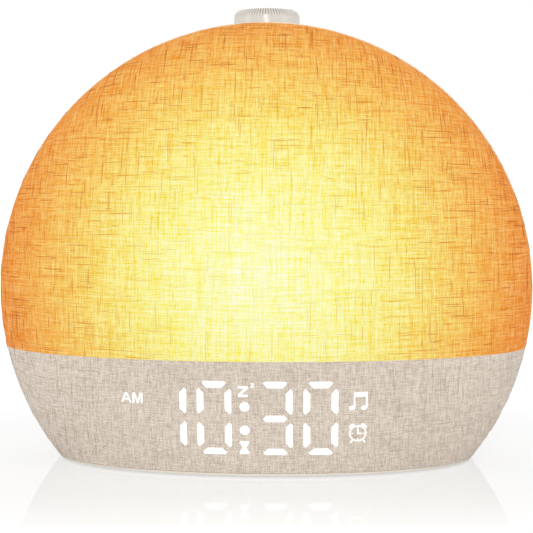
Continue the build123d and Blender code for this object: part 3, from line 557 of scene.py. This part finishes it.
def makeCloth():
    shapes = [[subdivided(loop) for loop in shape] for shape in displayShapes()]
    flat, triangles = clothTriangles(shapes)
    middle = flat[triangles].mean(axis=1)
    place = clothToDome(middle[:, 0], middle[:, 1])
    keep = (np.hypot(middle[:, 0], middle[:, 1]) < flatRadius) & (place[:, 2] > dome["bottom"])
    triangles, place = triangles[keep], place[keep]

    # material 0 below the horizon, 1 above it and 2 where the display shines through
    zone = np.where(place[:, 2] > dome["horizon"], 1, 0)
    zone[covered(place[:, 0], place[:, 2], shapes)] = 2
    mesh = bpy.data.meshes.new("cloth_cover")
    mesh.from_pydata(clothToDome(flat[:, 0], flat[:, 1]).tolist(), [], triangles.tolist())
    weaveMap = mesh.uv_layers.new(name="weave")
    corners = wovenPlace(flat)[triangles.ravel()]
    weaveMap.data.foreach_set("uv", (corners / (100 * mm)).ravel())   # 1 unit is 100 mm of cloth
    mesh.polygons.foreach_set("material_index", zone.astype(np.int32))
    mesh.polygons.foreach_set("use_smooth", np.ones(len(triangles), bool))
    mesh.validate()

    # a sharp edge all round, so that the wall at the rim doesn't shade the face of the cloth
    edgeOfCorner = np.zeros(len(mesh.loops), np.int32)
    mesh.loops.foreach_get("edge_index", edgeOfCorner)
    rim = np.bincount(edgeOfCorner, minlength=len(mesh.edges)) == 1
    mesh.attributes.new("sharp_edge", "BOOLEAN", "EDGE").data.foreach_set("value", rim)
    return placed("cloth_cover", mesh)


# woven yarns, plain below the horizon; above it the light of the lamp behind the cloth is painted
# in as a glow

weave = {
    "pitch": 0.0056,            # all sizes in units of 100 mm
    # width and length of what shows along the threads
    "slub": (0.0034, 0.055),
    "tone": (0.0050, 0.20),
    "fine": (0.0037, 0.030),
    # seeds for the upright threads and the level ones
    "darkSeeds": (1.7, 5.3),
    "paleSeeds": (31.7, 35.3),
    "toneSeeds": (11.1, 17.9),
    "fineSeeds": (41.3, 47.9),
    "darkSlub": (0.60, 0.78),   # the noise where a slub begins, and where it is full
    "wander": 0.014,
    "wanderScale": 3.0,
}


def clothCoordinates(tree):
    # the cloth's own coordinates, with the threads wandering a little
    uv = makeNode(tree, "ShaderNodeUVMap", uv_map="weave")
    wander = makeNode(tree, "ShaderNodeTexNoise",
                      {"Vector": uv, "Scale": weave["wanderScale"], "Detail": 2.0}).outputs["Color"]
    centred = vectorMaths(tree, "SUBTRACT", wander, (0.5, 0.5, 0.5))
    reach = (weave["wander"], weave["wander"], 0.0)
    return vectorMaths(tree, "MULTIPLY_ADD", centred, reach, uv)


def threads(tree, place, kind, seeds, detail=1.0):
    # noise drawn out along the upright threads, and along the level ones
    across, along = [1 / size for size in weave[kind]]
    return [noise(tree, stretched(tree, place, scale), 1.0, detail, 0.6, seed)
            for scale, seed in zip(((across, along, 1), (along, across, 1)), weave[seeds])]


def slubThreads(tree, place, seeds, low, high):
    both = [ranged(tree, thread, low, high) for thread in threads(tree, place, "slub", seeds)]
    return maths(tree, "MAXIMUM", *both)


def wovenHeight(tree, place):
    # plain weave: two sets of rounded threads that pass over each other in turn
    parts = axesOf(tree, place)
    turn = math.pi / weave["pitch"]
    return times(tree, *[maths(tree, "SINE", times(tree, parts[i], turn)) for i in (0, 1)])


def clothThreads(tree):
    place = clothCoordinates(tree)
    slub = slubThreads(tree, place, "darkSeeds", *weave["darkSlub"])
    tone, fine = [maths(tree, "SUBTRACT", added(tree, *pair), 1.0)
                  for pair in (threads(tree, place, "tone", "toneSeeds", 3.0),
                               threads(tree, place, "fine", "fineSeeds"))]
    return place, slub, tone, fine, wovenHeight(tree, place)


# painted glow: a colour ramp by distance from the lamp, given to the cloth as emission and base
# colour, stands in for the light that shines through it
glow = {
    "lampHeight": 69 * mm,
    "reach": 100 * mm,
    "base": 0.40,
    "strength": 0.54,
    # distance from the lamp in reaches, and the colour that the cloth glows there
    "stops": [
        (-0.2, (255, 255, 226)), (0.0, (254, 254, 196)), (0.18, (253, 252, 180)),
        (0.3, (252, 248, 160)), (0.45, (251, 239, 138)), (0.57, (249, 222, 116)),
        (0.68, (248, 200, 98)), (0.79, (246, 178, 84)), (0.91, (242, 152, 68)),
        (1.05, (232, 130, 56)), (1.3, (190, 100, 46)), (1.6, (144, 76, 44)),
    ],
}


def distanceFrom(tree, height, across, up):
    # distance from a point on the middle line as seen from the front, in reaches across and up
    return lengthOf(tree, stretched(tree, objectPlace(tree), (1 / across, 0, 1 / up),
                                    shift=(0, 0, -height / up)))


def glowDistance(tree):
    return distanceFrom(tree, glow["lampHeight"], glow["reach"], glow["reach"])


def glowColour(tree, distance):
    low, high = glow["stops"][0][0], glow["stops"][-1][0]
    return ramp(tree, ranged(tree, distance, low, high),
                [((place - low) / (high - low), srgb(*colour)) for place, colour in glow["stops"]])


def faded(tree, light):
    # the colour of glowing cloth under other light
    return blended(tree, 1.0, light, (glow["base"], glow["base"], glow["base"], 1), "MULTIPLY")


litCloth = {
    "fineShare": 0.6,
    # nearer and farther distance from the lamp, and the number at either
    "yarnThickness": (0.25, 0.6, 0.74, 0.44),
    "dimming": (0.3, 0.7, -0.03, -0.18),
    "blueLoss": (0.25, 0.7, -0.62, -0.12),
    "slubShare": (0.3, 0.7, 0.02, 0.36),
    "slubThickness": 0.14,
    "weaveThickness": 0.025,
    "slub": srgb(182, 92, 36),
    "pale": srgb(255, 242, 180),
    "paleShare": 0.38,
    "paleSlub": (0.6, 0.78),
    "relief": (0.25, 0.1 * mm),
    "surface": {"Emission Strength": glow["strength"], "Roughness": 0.9, "Specular IOR Level": 0.1},
}


def litClothMaterial():
    mat, tree, shader = newMaterial("lit cloth")
    place, slub, tone, fine, height = clothThreads(tree)
    pale = slubThreads(tree, place, "paleSeeds", *litCloth["paleSlub"])
    distance = glowDistance(tree)
    yarn = added(tree, tone, times(tree, fine, litCloth["fineShare"]))
    thick = times(tree, yarn, ranged(tree, distance, *litCloth["yarnThickness"]))
    thick = added(tree, thick, times(tree, slub, litCloth["slubThickness"]))
    thick = added(tree, thick, times(tree, height, litCloth["weaveThickness"]))
    light = glowColour(tree, added(tree, distance, thick))

    # a thick yarn dims the light, and its blue most of all
    dim = added(tree, times(tree, yarn, ranged(tree, distance, *litCloth["dimming"])), 1.0)
    blue = times(tree, yarn, ranged(tree, distance, *litCloth["blueLoss"]))
    light = blended(tree, 1.0, light, colourOf(tree, dim, dim, dim), "MULTIPLY")
    light = blended(tree, 1.0, light, colourOf(tree, 0.0, 0.0, blue), "ADD")
    share = times(tree, slub, ranged(tree, distance, *litCloth["slubShare"]))
    light = blended(tree, share, light, litCloth["slub"])
    light = blended(tree, times(tree, pale, litCloth["paleShare"]), light, litCloth["pale"])
    setSurface(tree, shader, {"Base Color": faded(tree, light), "Emission Color": light,
                              **litCloth["surface"]})
    bump(tree, shader, height, *litCloth["relief"])
    return mat


plainCloth = {
    "toneShare": 0.52,
    "tones": [(0.2, srgb(189, 175, 163)), (0.5, srgb(218, 205, 191)), (0.8, srgb(238, 228, 214))],
    "paleSlub": (0.60, 0.77),
    # how much, and of which colour
    "dark": (0.11, srgb(158, 144, 132)),
    "pale": (0.75, srgb(242, 234, 222)),
    # painted shade between the threads
    "gapShade": (0.23, srgb(140, 126, 112)),
    # painted shade under the middle of the horizon
    "wall": (0.15, srgb(140, 126, 108)),
    "shadeReach": (44 * mm, 14 * mm),
    "shadeEnd": 1.7,
    "relief": (0.35, 0.12 * mm),
    "surface": {"Roughness": 0.88, "Specular IOR Level": 0.25, "Sheen Weight": 0.08,
                "Sheen Roughness": 0.5},
}


def plainClothMaterial():
    mat, tree, shader = newMaterial("plain cloth")
    place, slub, tone, fine, height = clothThreads(tree)
    pale = slubThreads(tree, place, "paleSeeds", *plainCloth["paleSlub"])
    yarn = added(tree, times(tree, tone, plainCloth["toneShare"]), fine)
    body = ramp(tree, added(tree, yarn, 0.5), plainCloth["tones"])
    for thread, name in ((slub, "dark"), (pale, "pale")):
        share, colour = plainCloth[name]
        body = blended(tree, times(tree, thread, share), body, colour)
    # painted shade in the hollows between the threads, darkest where the weave is lowest
    share, colour = plainCloth["gapShade"]
    body = blended(tree, ranged(tree, height, -1, 1, share, 0.0), body, colour)

    # painted shade: the cloth is darkened a little under the middle of the horizon
    share, colour = plainCloth["wall"]
    near = distanceFrom(tree, dome["horizon"], *plainCloth["shadeReach"])
    body = blended(tree, ranged(tree, near, 0.0, plainCloth["shadeEnd"], share, 0.0), body, colour)
    setSurface(tree, shader, {"Base Color": body, **plainCloth["surface"]})
    bump(tree, shader, height, *plainCloth["relief"])
    return mat


displayLight = {
    "whites": [(0.1, srgb(246, 243, 238)), (0.5, srgb(255, 255, 254))],
    "relief": (0.2, 0.1 * mm),
    "surface": {"Base Color": srgb(120, 118, 112), "Emission Strength": 0.95, "Roughness": 0.9,
                "Specular IOR Level": 0.1},
}


def displayLightMaterial():
    mat, tree, shader = newMaterial("display light in cloth")
    _, _, tone, _, height = clothThreads(tree)
    light = ramp(tree, added(tree, tone, 0.5), displayLight["whites"])
    setSurface(tree, shader, {"Emission Color": light, **displayLight["surface"]})
    bump(tree, shader, height, *displayLight["relief"])
    return mat


# thick places in the yarns, which lie along the weave and stand a little proud of it

raisedSlub = {
    "Count": 3000,
    "Shortest": 0.022,      # lengths and places in units of 100 mm, as in the weave
    "Longest": 0.115,
    "Spread": 1.1,
    "Lean": 0.03,
    "Thickness": 0.12 * mm,
    "Lift": 0.05 * mm,
    "Seed": 7,
    # edges of the display, which the slubs keep clear of
    "Left": (display["colonX"] + display["marks"]["morning"][0]) / 100 - 0.07,
    "Right": (display["colonX"] + display["marks"]["alarm"][0]) / 100 + 0.09,
    "Top": (display["middle"] + display["digitHeight"] / 2 - dome["centre"] / mm) / 100 + 0.05,
}


def slubTree(sizes, material):
    tree, size = geometryTree("slubs in the weave", sizes)

    def between(low, high, offset, kind="FLOAT"):
        node = makeNode(tree, "FunctionNodeRandomValue",
                        {"Min": low, "Max": high, "Seed": added(tree, size["Seed"], offset)},
                        data_type=kind)
        return socketOf(node.outputs, "Value")

    # points scattered over the flat weave, but not over the display
    corners = [makeNode(tree, "ShaderNodeCombineXYZ", {"X": value, "Y": value})
               for value in (times(tree, size["Spread"], -1.0), size["Spread"])]
    points = makeNode(tree, "GeometryNodePoints",
                      {"Count": size["Count"], "Position": between(*corners, 0, "FLOAT_VECTOR")})
    shaded = makeNode(tree, "GeometryNodeStoreNamedAttribute",
                      {"Geometry": points, "Name": "shade", "Value": between(0.0, 1.0, 1)},
                      data_type="FLOAT", domain="POINT")
    flatPlace = makeNode(tree, "GeometryNodeInputPosition")
    parts = axesOf(tree, flatPlace)
    onDisplay = times(tree, maths(tree, "GREATER_THAN", parts[0], size["Left"]),
                      maths(tree, "LESS_THAN", parts[0], size["Right"]))
    onDisplay = times(tree, onDisplay, maths(tree, "LESS_THAN", parts[1], size["Top"]))
    scattered = makeNode(tree, "GeometryNodeDeleteGeometry",
                         {"Geometry": shaded, "Selection": onDisplay}, domain="POINT")

    # a short line at each point, upright or level
    upright = maths(tree, "GREATER_THAN", between(0.0, 1.0, 2), 0.5)
    lean = times(tree, size["Lean"], between(-1.0, 1.0, 3))
    angle = added(tree, times(tree, upright, math.pi / 2), lean)
    turn = makeNode(tree, "ShaderNodeCombineXYZ", {"Z": angle})
    length = between(size["Shortest"], size["Longest"], 4)
    scale = makeNode(tree, "ShaderNodeCombineXYZ", {"X": length, "Y": 1.0, "Z": 1.0})
    line = makeNode(tree, "GeometryNodeCurvePrimitiveLine",
                    {"Start": (-0.5, 0, 0), "End": (0.5, 0, 0)})
    steps = makeNode(tree, "GeometryNodeResampleCurve", {"Curve": line, "Count": 6})
    laid = makeNode(tree, "GeometryNodeInstanceOnPoints",
                    {"Points": scattered, "Instance": steps, "Rotation": turn, "Scale": scale})
    yarn = makeNode(tree, "GeometryNodeRealizeInstances", {"Geometry": laid})

    # each point of the flat weave goes to its place on the cloth
    info = makeNode(tree, "GeometryNodeObjectInfo", {"Object": size["Cloth"]},
                    transform_space="ORIGINAL")
    sheet = socketOf(info.outputs, "Geometry")
    weaveMap = makeNode(tree, "GeometryNodeInputNamedAttribute", {"Name": "weave"},
                        data_type="FLOAT_VECTOR")
    place, outward = [
        makeNode(tree, "GeometryNodeSampleUVSurface",
                 {"Mesh": sheet, "Value": makeNode(tree, kind), "UV Map": weaveMap,
                  "Sample UV": flatPlace}, data_type="FLOAT_VECTOR")
        for kind in ("GeometryNodeInputPosition", "GeometryNodeInputNormal")
    ]
    outside = makeNode(tree, "FunctionNodeBooleanMath", {0: place.outputs["Is Valid"]},
                       operation="NOT")
    kept = makeNode(tree, "GeometryNodeDeleteGeometry",
                    {"Geometry": yarn, "Selection": outside}, domain="POINT")
    lift = makeNode(tree, "ShaderNodeVectorMath", {0: outward, "Scale": size["Lift"]},
                    operation="SCALE")
    raised = vectorMaths(tree, "ADD", place, lift)
    onCloth = makeNode(tree, "GeometryNodeSetPosition", {"Geometry": kept, "Position": raised})

    # the slub swells in its middle and thins out to its ends
    along = makeNode(tree, "GeometryNodeSplineParameter").outputs["Factor"]
    swell = maths(tree, "POWER", maths(tree, "SINE", times(tree, along, math.pi)), 0.6)
    swell = times(tree, added(tree, swell, 0.12), size["Thickness"])
    section = makeNode(tree, "GeometryNodeCurvePrimitiveCircle", {"Resolution": 3, "Radius": 1.0},
                       mode="RADIUS")
    tube = makeNode(tree, "GeometryNodeCurveToMesh",
                    {"Curve": onCloth, "Profile Curve": section, "Scale": swell, "Fill Caps": True})
    finishTree(tree, tube, material)
    return tree


slubFinish = {
    "paleFrom": 0.7,        # a slub with a higher random shade is a pale one
    "deepest": (1.0, 0.2),
    "brownShare": (0.3, 0.8, 0.02, 0.52),
    "brown": srgb(158, 84, 38),
    "thickness": 0.32,
    "paleThickness": -0.14,
    "paleGlow": (0.22, srgb(255, 244, 190)),
    "unlit": [(0.0, srgb(205, 191, 178)), (0.7, srgb(217, 204, 190))],
    "unlitPale": srgb(240, 232, 221),
}


def slubMaterial():
    # a slub's painted glow is darker than the cloth round it, and the slub is darker or paler than
    # the unlit cloth
    mat, tree, shader = newMaterial("slub")
    shade = makeNode(tree, "ShaderNodeAttribute", attribute_name="shade").outputs["Fac"]
    lit = maths(tree, "GREATER_THAN", axesOf(tree, objectPlace(tree))[2], dome["horizon"])
    pale = maths(tree, "GREATER_THAN", shade, slubFinish["paleFrom"])
    distance = glowDistance(tree)
    deep = ranged(tree, shade, 0, slubFinish["paleFrom"], *slubFinish["deepest"])
    brown = times(tree, deep, ranged(tree, distance, *slubFinish["brownShare"]))
    dark = glowColour(tree, added(tree, distance, times(tree, deep, slubFinish["thickness"])))
    dark = blended(tree, brown, dark, slubFinish["brown"])
    share, colour = slubFinish["paleGlow"]
    thin = glowColour(tree, added(tree, distance, slubFinish["paleThickness"]))
    light = blended(tree, pale, dark, blended(tree, share, thin, colour))
    unlit = blended(tree, pale, ramp(tree, shade, slubFinish["unlit"]), slubFinish["unlitPale"])
    setSurface(tree, shader, {"Base Color": blended(tree, lit, unlit, faded(tree, light)),
                              "Emission Color": blended(tree, lit, srgb(0, 0, 0), light),
                              **litCloth["surface"]})
    return mat


def makeSlubs(cloth):
    sizes = {"Cloth": cloth, **raisedSlub}
    return grown("cloth_slubs", slubTree(sizes, slubMaterial()), sizes)


# before it is stretched over the dome, in metres
cloth = makeCloth()
for material in (plainClothMaterial(), litClothMaterial(), displayLightMaterial()):
    cloth.data.materials.append(material)
slubs = makeSlubs(cloth)
wall = cloth.modifiers.new("thickness", "SOLIDIFY")
wall.thickness = dome["thickness"]
wall.offset = -1
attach(cloth, "case")
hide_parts("fabric_cover")
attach(slubs, "case")
print("cloth:", len(cloth.data.polygons), "triangles")


# moulded, metal and rubber finishes of the solid parts

def varied(tree, value, middle, less, more):
    # a number that wavers a little about its middle
    return ranged(tree, value, 0.3, 0.7, middle - less, middle + more)


mould = {
    # scale, detail, roughness and seed of the noise
    "clouds": (18, 3, 0.6, 2.0),
    "smears": (60, 3, 0.6, 6.0),
    "smearing": 0.06,
    "grainDepth": 0.08 * mm,
}


def moulded(name, colour, rough, grain=0.15, grainSize=1400, mottle=0.05, specular=0.4):
    # faint clouds in the colour, uneven gloss and a fine grain
    mat, tree, shader = newMaterial(name)
    place = objectPlace(tree)
    tint = varied(tree, noise(tree, place, *mould["clouds"]), 1, mottle, mottle * 0.4)
    body = blended(tree, 1.0, colour, colourOf(tree, tint, tint, tint), "MULTIPLY")
    smears = noise(tree, place, *mould["smears"])
    gloss = varied(tree, smears, rough, mould["smearing"], mould["smearing"])
    setSurface(tree, shader, {"Base Color": body, "Roughness": gloss,
                              "Specular IOR Level": specular})
    grains = noise(tree, place, grainSize, 2, 0.6, 4.0)
    bump(tree, shader, grains, grain, mould["grainDepth"])
    return mat, tree, shader


knobFinish = {
    "body": srgb(213, 208, 201),
    # painted shade in the grooves
    "groove": srgb(178, 170, 161),
    "rough": 0.18,
    "grain": 0.06,
    "specular": 0.5,
    "ribs": 72,
    "edge": 3.3 * mm,
    "edgeFade": (0.75, 0.06),   # where the grooves fade out at the foot and at the top of the edge
    "shade": 0.85,
}


def knobPlastic():
    # satin plastic with painted shade in the grooves of the rounded edge
    mat, tree, shader = moulded("knob plastic", knobFinish["body"], knobFinish["rough"],
                                knobFinish["grain"], specular=knobFinish["specular"])
    low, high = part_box("knob_cap")
    parts = axesOf(tree, stretched(tree, objectPlace(tree), (1, 1, 1),
                                   shift=(0, -(low.y + high.y) / 2, -high.z)))
    angle = maths(tree, "ARCTAN2", parts[1], parts[0])
    groove = ranged(tree, maths(tree, "COSINE", times(tree, angle, knobFinish["ribs"])), -0.3, 1.0)
    edge, (foot, top) = knobFinish["edge"], knobFinish["edgeFade"]
    band = times(tree, ranged(tree, parts[2], -edge, -foot * edge),
                 ranged(tree, parts[2], 0.0, -top * edge))
    share = times(tree, times(tree, groove, band), knobFinish["shade"])
    body = shader.inputs["Base Color"].links[0].from_socket
    plug(tree, shader.inputs["Base Color"], blended(tree, share, body, knobFinish["groove"]))
    return mat


def metal(name, colour, rough, brush=(40, 40, 1600)):
    # fine lines along the brushing
    mat, tree, shader = newMaterial(name)
    lines = noise(tree, stretched(tree, objectPlace(tree), brush), 1.0, 3, 0.6, 3.0)
    dull = tuple(channel * 0.82 for channel in colour[:3]) + (1,)
    setSurface(tree, shader, {"Base Color": ramp(tree, lines, [(0.3, dull), (0.7, colour)]),
                              "Roughness": varied(tree, lines, rough, 0.06, 0.08), "Metallic": 1.0})
    bump(tree, shader, lines, 0.06, 0.05 * mm)
    return mat


def circuitBoard():
    # solder mask over faint copper tracks
    mat, tree, shader = newMaterial("circuit board")
    cells = makeNode(tree, "ShaderNodeTexVoronoi", {"Vector": objectPlace(tree), "Scale": 260},
                     distance="MANHATTAN")
    tracks = ranged(tree, cells.outputs["Distance"], 0.28, 0.34)
    mask = blended(tree, tracks, srgb(24, 112, 66), srgb(14, 84, 48))
    setSurface(tree, shader, {"Base Color": mask, "Roughness": 0.35})
    bump(tree, shader, tracks, 0.2, 0.03 * mm)
    return mat


def opalPlastic():
    mat, tree, shader = moulded("opal plastic", srgb(250, 246, 236), 0.5, 0.05)
    setSurface(tree, shader, {"Subsurface Weight": 0.3, "Subsurface Scale": 3 * mm})
    return mat


def clearGuide():
    mat, tree, shader = newMaterial("clear guide")
    flow = noise(tree, stretched(tree, objectPlace(tree), (1, 0.2, 1)), 300, 2, 0.5, 8.0)
    setSurface(tree, shader, {"Roughness": ranged(tree, flow, 0.3, 0.7, 0.05, 0.14), "IOR": 1.49,
                              "Base Color": srgb(246, 250, 252), "Transmission Weight": 0.9})
    return mat


def speckled(name, dark, pale, size, rough, strength=0.3):
    # paper, ferrite or rubber: two tones in fine specks
    mat, tree, shader = newMaterial(name)
    specks = noise(tree, objectPlace(tree), size, 4, 0.7, 9.0)
    setSurface(tree, shader, {"Base Color": ramp(tree, specks, [(0.35, dark), (0.68, pale)]),
                              "Roughness": varied(tree, specks, rough, 0.05, 0.05),
                              "Specular IOR Level": 0.3})
    bump(tree, shader, specks, strength, 0.1 * mm)
    return mat


def ledPackage():
    # yellow phosphor that varies a little
    mat, tree, shader = newMaterial("led package")
    clouds = noise(tree, objectPlace(tree), 700, 2, 0.5, 12.0)
    body = ramp(tree, clouds, [(0.4, srgb(250, 226, 130)), (0.6, srgb(252, 246, 214))])
    setSurface(tree, shader, {"Base Color": body, "Roughness": 0.3,
                              "Emission Color": srgb(255, 226, 150), "Emission Strength": 0.5})
    return mat


def cableSleeve():
    # parallel conductors, 1 mm apart, show as faint ridges, with painted shade in the valleys
    # between them
    mat, tree, shader = newMaterial("cable sleeve")
    turn = 2 * math.pi / (1.0 * mm)
    ridges = maths(tree, "SINE", times(tree, axesOf(tree, objectPlace(tree))[0], turn))
    # painted shade: darker in the valleys between the ridges
    tones = [(0.0, srgb(196, 196, 194)), (1.0, srgb(226, 226, 222))]
    setSurface(tree, shader, {"Base Color": ramp(tree, ranged(tree, ridges, -1, 1), tones),
                              "Roughness": 0.45})
    bump(tree, shader, ridges, 0.3, 0.15 * mm)
    return mat


finishes = {
    "cream_plastic": moulded("cream plastic", srgb(236, 228, 214), 0.5)[0],
    "knob_plastic": knobPlastic(),
    "opal_plastic": opalPlastic(),
    "white_plastic": moulded("white plastic", srgb(242, 242, 240), 0.45)[0],
    "dark_plastic": moulded("dark plastic", srgb(40, 40, 42), 0.5, 0.2, mottle=0.15)[0],
    "clear_guide": clearGuide(),
    "circuit_board": circuitBoard(),
    "lamp_metal": moulded("white solder mask", srgb(240, 240, 238), 0.35, 0.03, 300)[0],
    "led_package": ledPackage(),
    "screw_steel": metal("plated steel", srgb(176, 176, 180), 0.35, (900, 900, 60)),
    "cell_steel": metal("bright steel", srgb(206, 206, 208), 0.22, (60, 1600, 60)),
    "magnet_ferrite": speckled("sintered ferrite", srgb(50, 50, 54), srgb(84, 84, 88), 900, 0.6),
    "basket_steel": moulded("black painted steel", srgb(52, 52, 54), 0.4, 0.1, 500)[0],
    "cone_paper": speckled("pressed paper", srgb(58, 57, 58), srgb(92, 90, 90), 500, 0.85, 0.5),
    "soft_rubber": speckled("soft rubber", srgb(54, 54, 54), srgb(70, 70, 70), 700, 0.7),
    "foot_rubber": speckled("foot rubber", srgb(176, 172, 166), srgb(200, 196, 190), 700, 0.75),
    "contact_brass": metal("contact brass", srgb(222, 190, 112), 0.3),
    "cable_sleeve": cableSleeve(),
}
for entry in frame["record"]["subparts"]:
    node = nodes[entry["node"]]
    slotName = entry["material_slot"]
    if slotName in finishes:
        node.data.materials.clear()
        node.data.materials.append(finishes[slotName])
print("finishes set")


# raised marks on the back buttons

mark = {
    "height": 0.14 * mm,
    "sink": 0.05 * mm,
    "finish": moulded("mark print", srgb(132, 124, 116), 0.55)[0],
    # how each outline is moved, in millimetres, and then how much it is shrunk
    "alarmFit": (0, -0.3, 0.8),
    "soundFit": (-3.5, -3.2, 0.72),
    "sunRadius": 1.0,
    "rays": 8,
    "rayReach": (1.5, 2.3),
    "rayWidth": 0.42,
    "barReach": 1.8,
    "barPitch": 1.3,
    "barWidth": 0.5,
}


def sunMark():
    near, far = mark["rayReach"]
    angles = np.linspace(0, 2 * math.pi, mark["rays"], endpoint=False)
    rays = [(math.cos(angle), math.sin(angle)) for angle in angles]
    return [[disc(0, 0, mark["sunRadius"])]] + [
        [stroke(near * x, near * z, far * x, far * z, mark["rayWidth"])] for x, z in rays]


def moonMark():
    # the outer edge runs from tip to tip, and the inner edge runs back
    outer = disc(0, 0, 2.2, start=math.radians(72.5), sweep=math.radians(265))
    inner = disc(0.75, 0.35, 1.75, start=math.radians(317), sweep=-math.radians(224))
    return [[outer + inner[1:-1]]]


def barsMark():
    return [[stroke(-mark["barReach"], level * mark["barPitch"], mark["barReach"],
                    level * mark["barPitch"], mark["barWidth"])] for level in (-1, 0, 1)]


def makeMark(button, shapes):
    # the outline of the mark is seen from behind, so its right is the clock's left
    low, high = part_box(button)
    loops = [loop for shape in shapes for loop in shape]
    flat, triangles = triangulated(*closedEdges(loops))
    middle = flat[triangles].mean(axis=1)
    triangles = triangles[covered(middle[:, 0], middle[:, 1], shapes)]
    used, triangles = np.unique(triangles, return_inverse=True)
    x = (low.x + high.x) / 2 - flat[used][:, 0] * mm
    z = (low.z + high.z) / 2 + flat[used][:, 1] * mm
    y = np.full(len(used), high.y - mark["sink"])
    mesh = bpy.data.meshes.new(button + "_mark")
    mesh.from_pydata(np.stack([x, y, z], axis=-1).tolist(), [], triangles.reshape(-1, 3).tolist())
    mesh.materials.append(mark["finish"])
    piece = placed(button + "_mark", mesh)
    wall = piece.modifiers.new("height", "SOLIDIFY")
    wall.thickness = mark["height"] + mark["sink"]
    wall.offset = 1
    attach(piece, button.replace("button_", "") + "_key")


makeMark("button_alarm", moved(alarmMark(), *mark["alarmFit"]))
makeMark("button_lamp", sunMark())
makeMark("button_sound", moved(musicNote, *mark["soundFit"]))
makeMark("button_sleep", moonMark())
makeMark("button_set", barsMark())
print("marks made")


# floor, light and camera

stage = {
    "floorSize": 8.0,
    # the mirror fades out between two distances from the middle, in metres
    "mirrorNear": 0.060,
    "mirrorFar": 0.101,
    "mirror": 0.22,
    "mirrorEnd": 0.07,
    "mirrorRough": 0.03,
    "acrossShare": 0.2,     # a step across counts less than one away from the camera
    "paint": 0.8,
    "paintSeen": 0.3,       # the rest of what the camera sees is plain white light
    "topUp": 0.738,
    "topUpFar": 0.85,
    "topUpReach": (0.12, 0.6),
    "worldLight": 0.75,
    "cameraTurn": math.radians(2.3),
    "cameraHeading": math.radians(2.244),
    "cameraTilt": math.radians(4.621),
    "cameraReach": 0.545,
    "cameraHeight": 0.1128,
    "sensor": 36,
    "lens": 103.1,
    "farthest": 20,
    # place, what it points at, size and power in watts
    "lamps": {
        "front softbox": ((0.0, -1.5, 0.5), (0, 0, 0.07), (0.4, 0.7), 7.6),
        "back softbox": ((0.0, 1.6, 1.0), (0, 0, 0.08), (1.2, 0.8), 4),
        "left strip": ((-1.3, -0.5, 0.6), (0, 0, 0.08), (0.5, 1.2), 2.4),
        "right strip": ((1.3, -0.5, 0.6), (0, 0, 0.08), (0.5, 1.2), 2.4),
    },
}


def floorMaterial():
    # pale floor that mirrors softly beside the object and shows white to the camera
    mat = bpy.data.materials.new("floor")
    tree = emptyTree(mat)
    seen = seenByCamera(tree)
    facing = stretched(tree, objectPlace(tree), (1, 1, 1), turn=(0, 0, -stage["cameraTurn"]))
    away = lengthOf(tree, stretched(tree, facing, (stage["acrossShare"], 1, 0)))
    level = ranged(tree, away, *stage["topUpReach"], stage["topUp"], stage["topUpFar"])
    light = makeNode(tree, "ShaderNodeEmission", {"Strength": times(tree, seen, level)})
    tone = ranged(tree, seen, 0, 1, stage["paint"], stage["paintSeen"])
    matt = makeNode(tree, "ShaderNodeBsdfDiffuse", {"Color": colourOf(tree, tone, tone, tone)})
    pale = makeNode(tree, "ShaderNodeAddShader", {0: matt, 1: light})
    mirror = makeNode(tree, "ShaderNodeBsdfGlossy", {"Roughness": stage["mirrorRough"]})
    share = ranged(tree, away, stage["mirrorNear"], stage["mirrorFar"],
                   stage["mirror"], stage["mirrorEnd"])
    share = times(tree, share, maths(tree, "LESS_THAN", away, stage["mirrorFar"]))
    both = makeNode(tree, "ShaderNodeMixShader", {0: share, 1: pale, 2: mirror})
    makeNode(tree, "ShaderNodeOutputMaterial", {"Surface": both})
    return mat


def makeFloor():
    half = stage["floorSize"] / 2
    corners = [(-half, -half, 0), (half, -half, 0), (half, half, 0), (-half, half, 0)]
    mesh = bpy.data.meshes.new("floor")
    mesh.from_pydata(corners, [], [(0, 1, 2, 3)])
    mesh.materials.append(floorMaterial())
    floor = placed("floor", mesh)


def makeWorld():
    world = bpy.data.worlds.new("studio")
    bpy.context.scene.world = world
    tree = emptyTree(world)
    strength = ranged(tree, seenByCamera(tree), 0, 1, stage["worldLight"], 1.0)
    back = makeNode(tree, "ShaderNodeBackground", {"Color": (1, 1, 1, 1), "Strength": strength})
    makeNode(tree, "ShaderNodeOutputWorld", {"Surface": back})


def makeLamp(name, place, aim, size, power):
    lamp = bpy.data.lights.new(name, "AREA")
    lamp.shape = "RECTANGLE"
    lamp.size, lamp.size_y = size
    lamp.energy = power
    holder = placed(name, lamp)
    holder.location = place
    holder.rotation_euler = (Vector(aim) - Vector(place)).to_track_quat("-Z", "Y").to_euler()


def makeCamera():
    lens = bpy.data.cameras.new("camera")
    lens.sensor_width = stage["sensor"]
    lens.lens = stage["lens"]
    lens.clip_end = stage["farthest"]
    camera = placed("camera", lens)
    turn, reach = stage["cameraTurn"], stage["cameraReach"]
    camera.location = (reach * math.sin(turn), -reach * math.cos(turn), stage["cameraHeight"])
    camera.rotation_euler = (math.pi / 2 - stage["cameraTilt"], 0, stage["cameraHeading"])
    bpy.context.scene.camera = camera


makeFloor()
makeWorld()
for name, settings in stage["lamps"].items():
    makeLamp(name, *settings)
makeCamera()
bpy.context.scene.view_settings.view_transform = "Standard"
print("stage set")
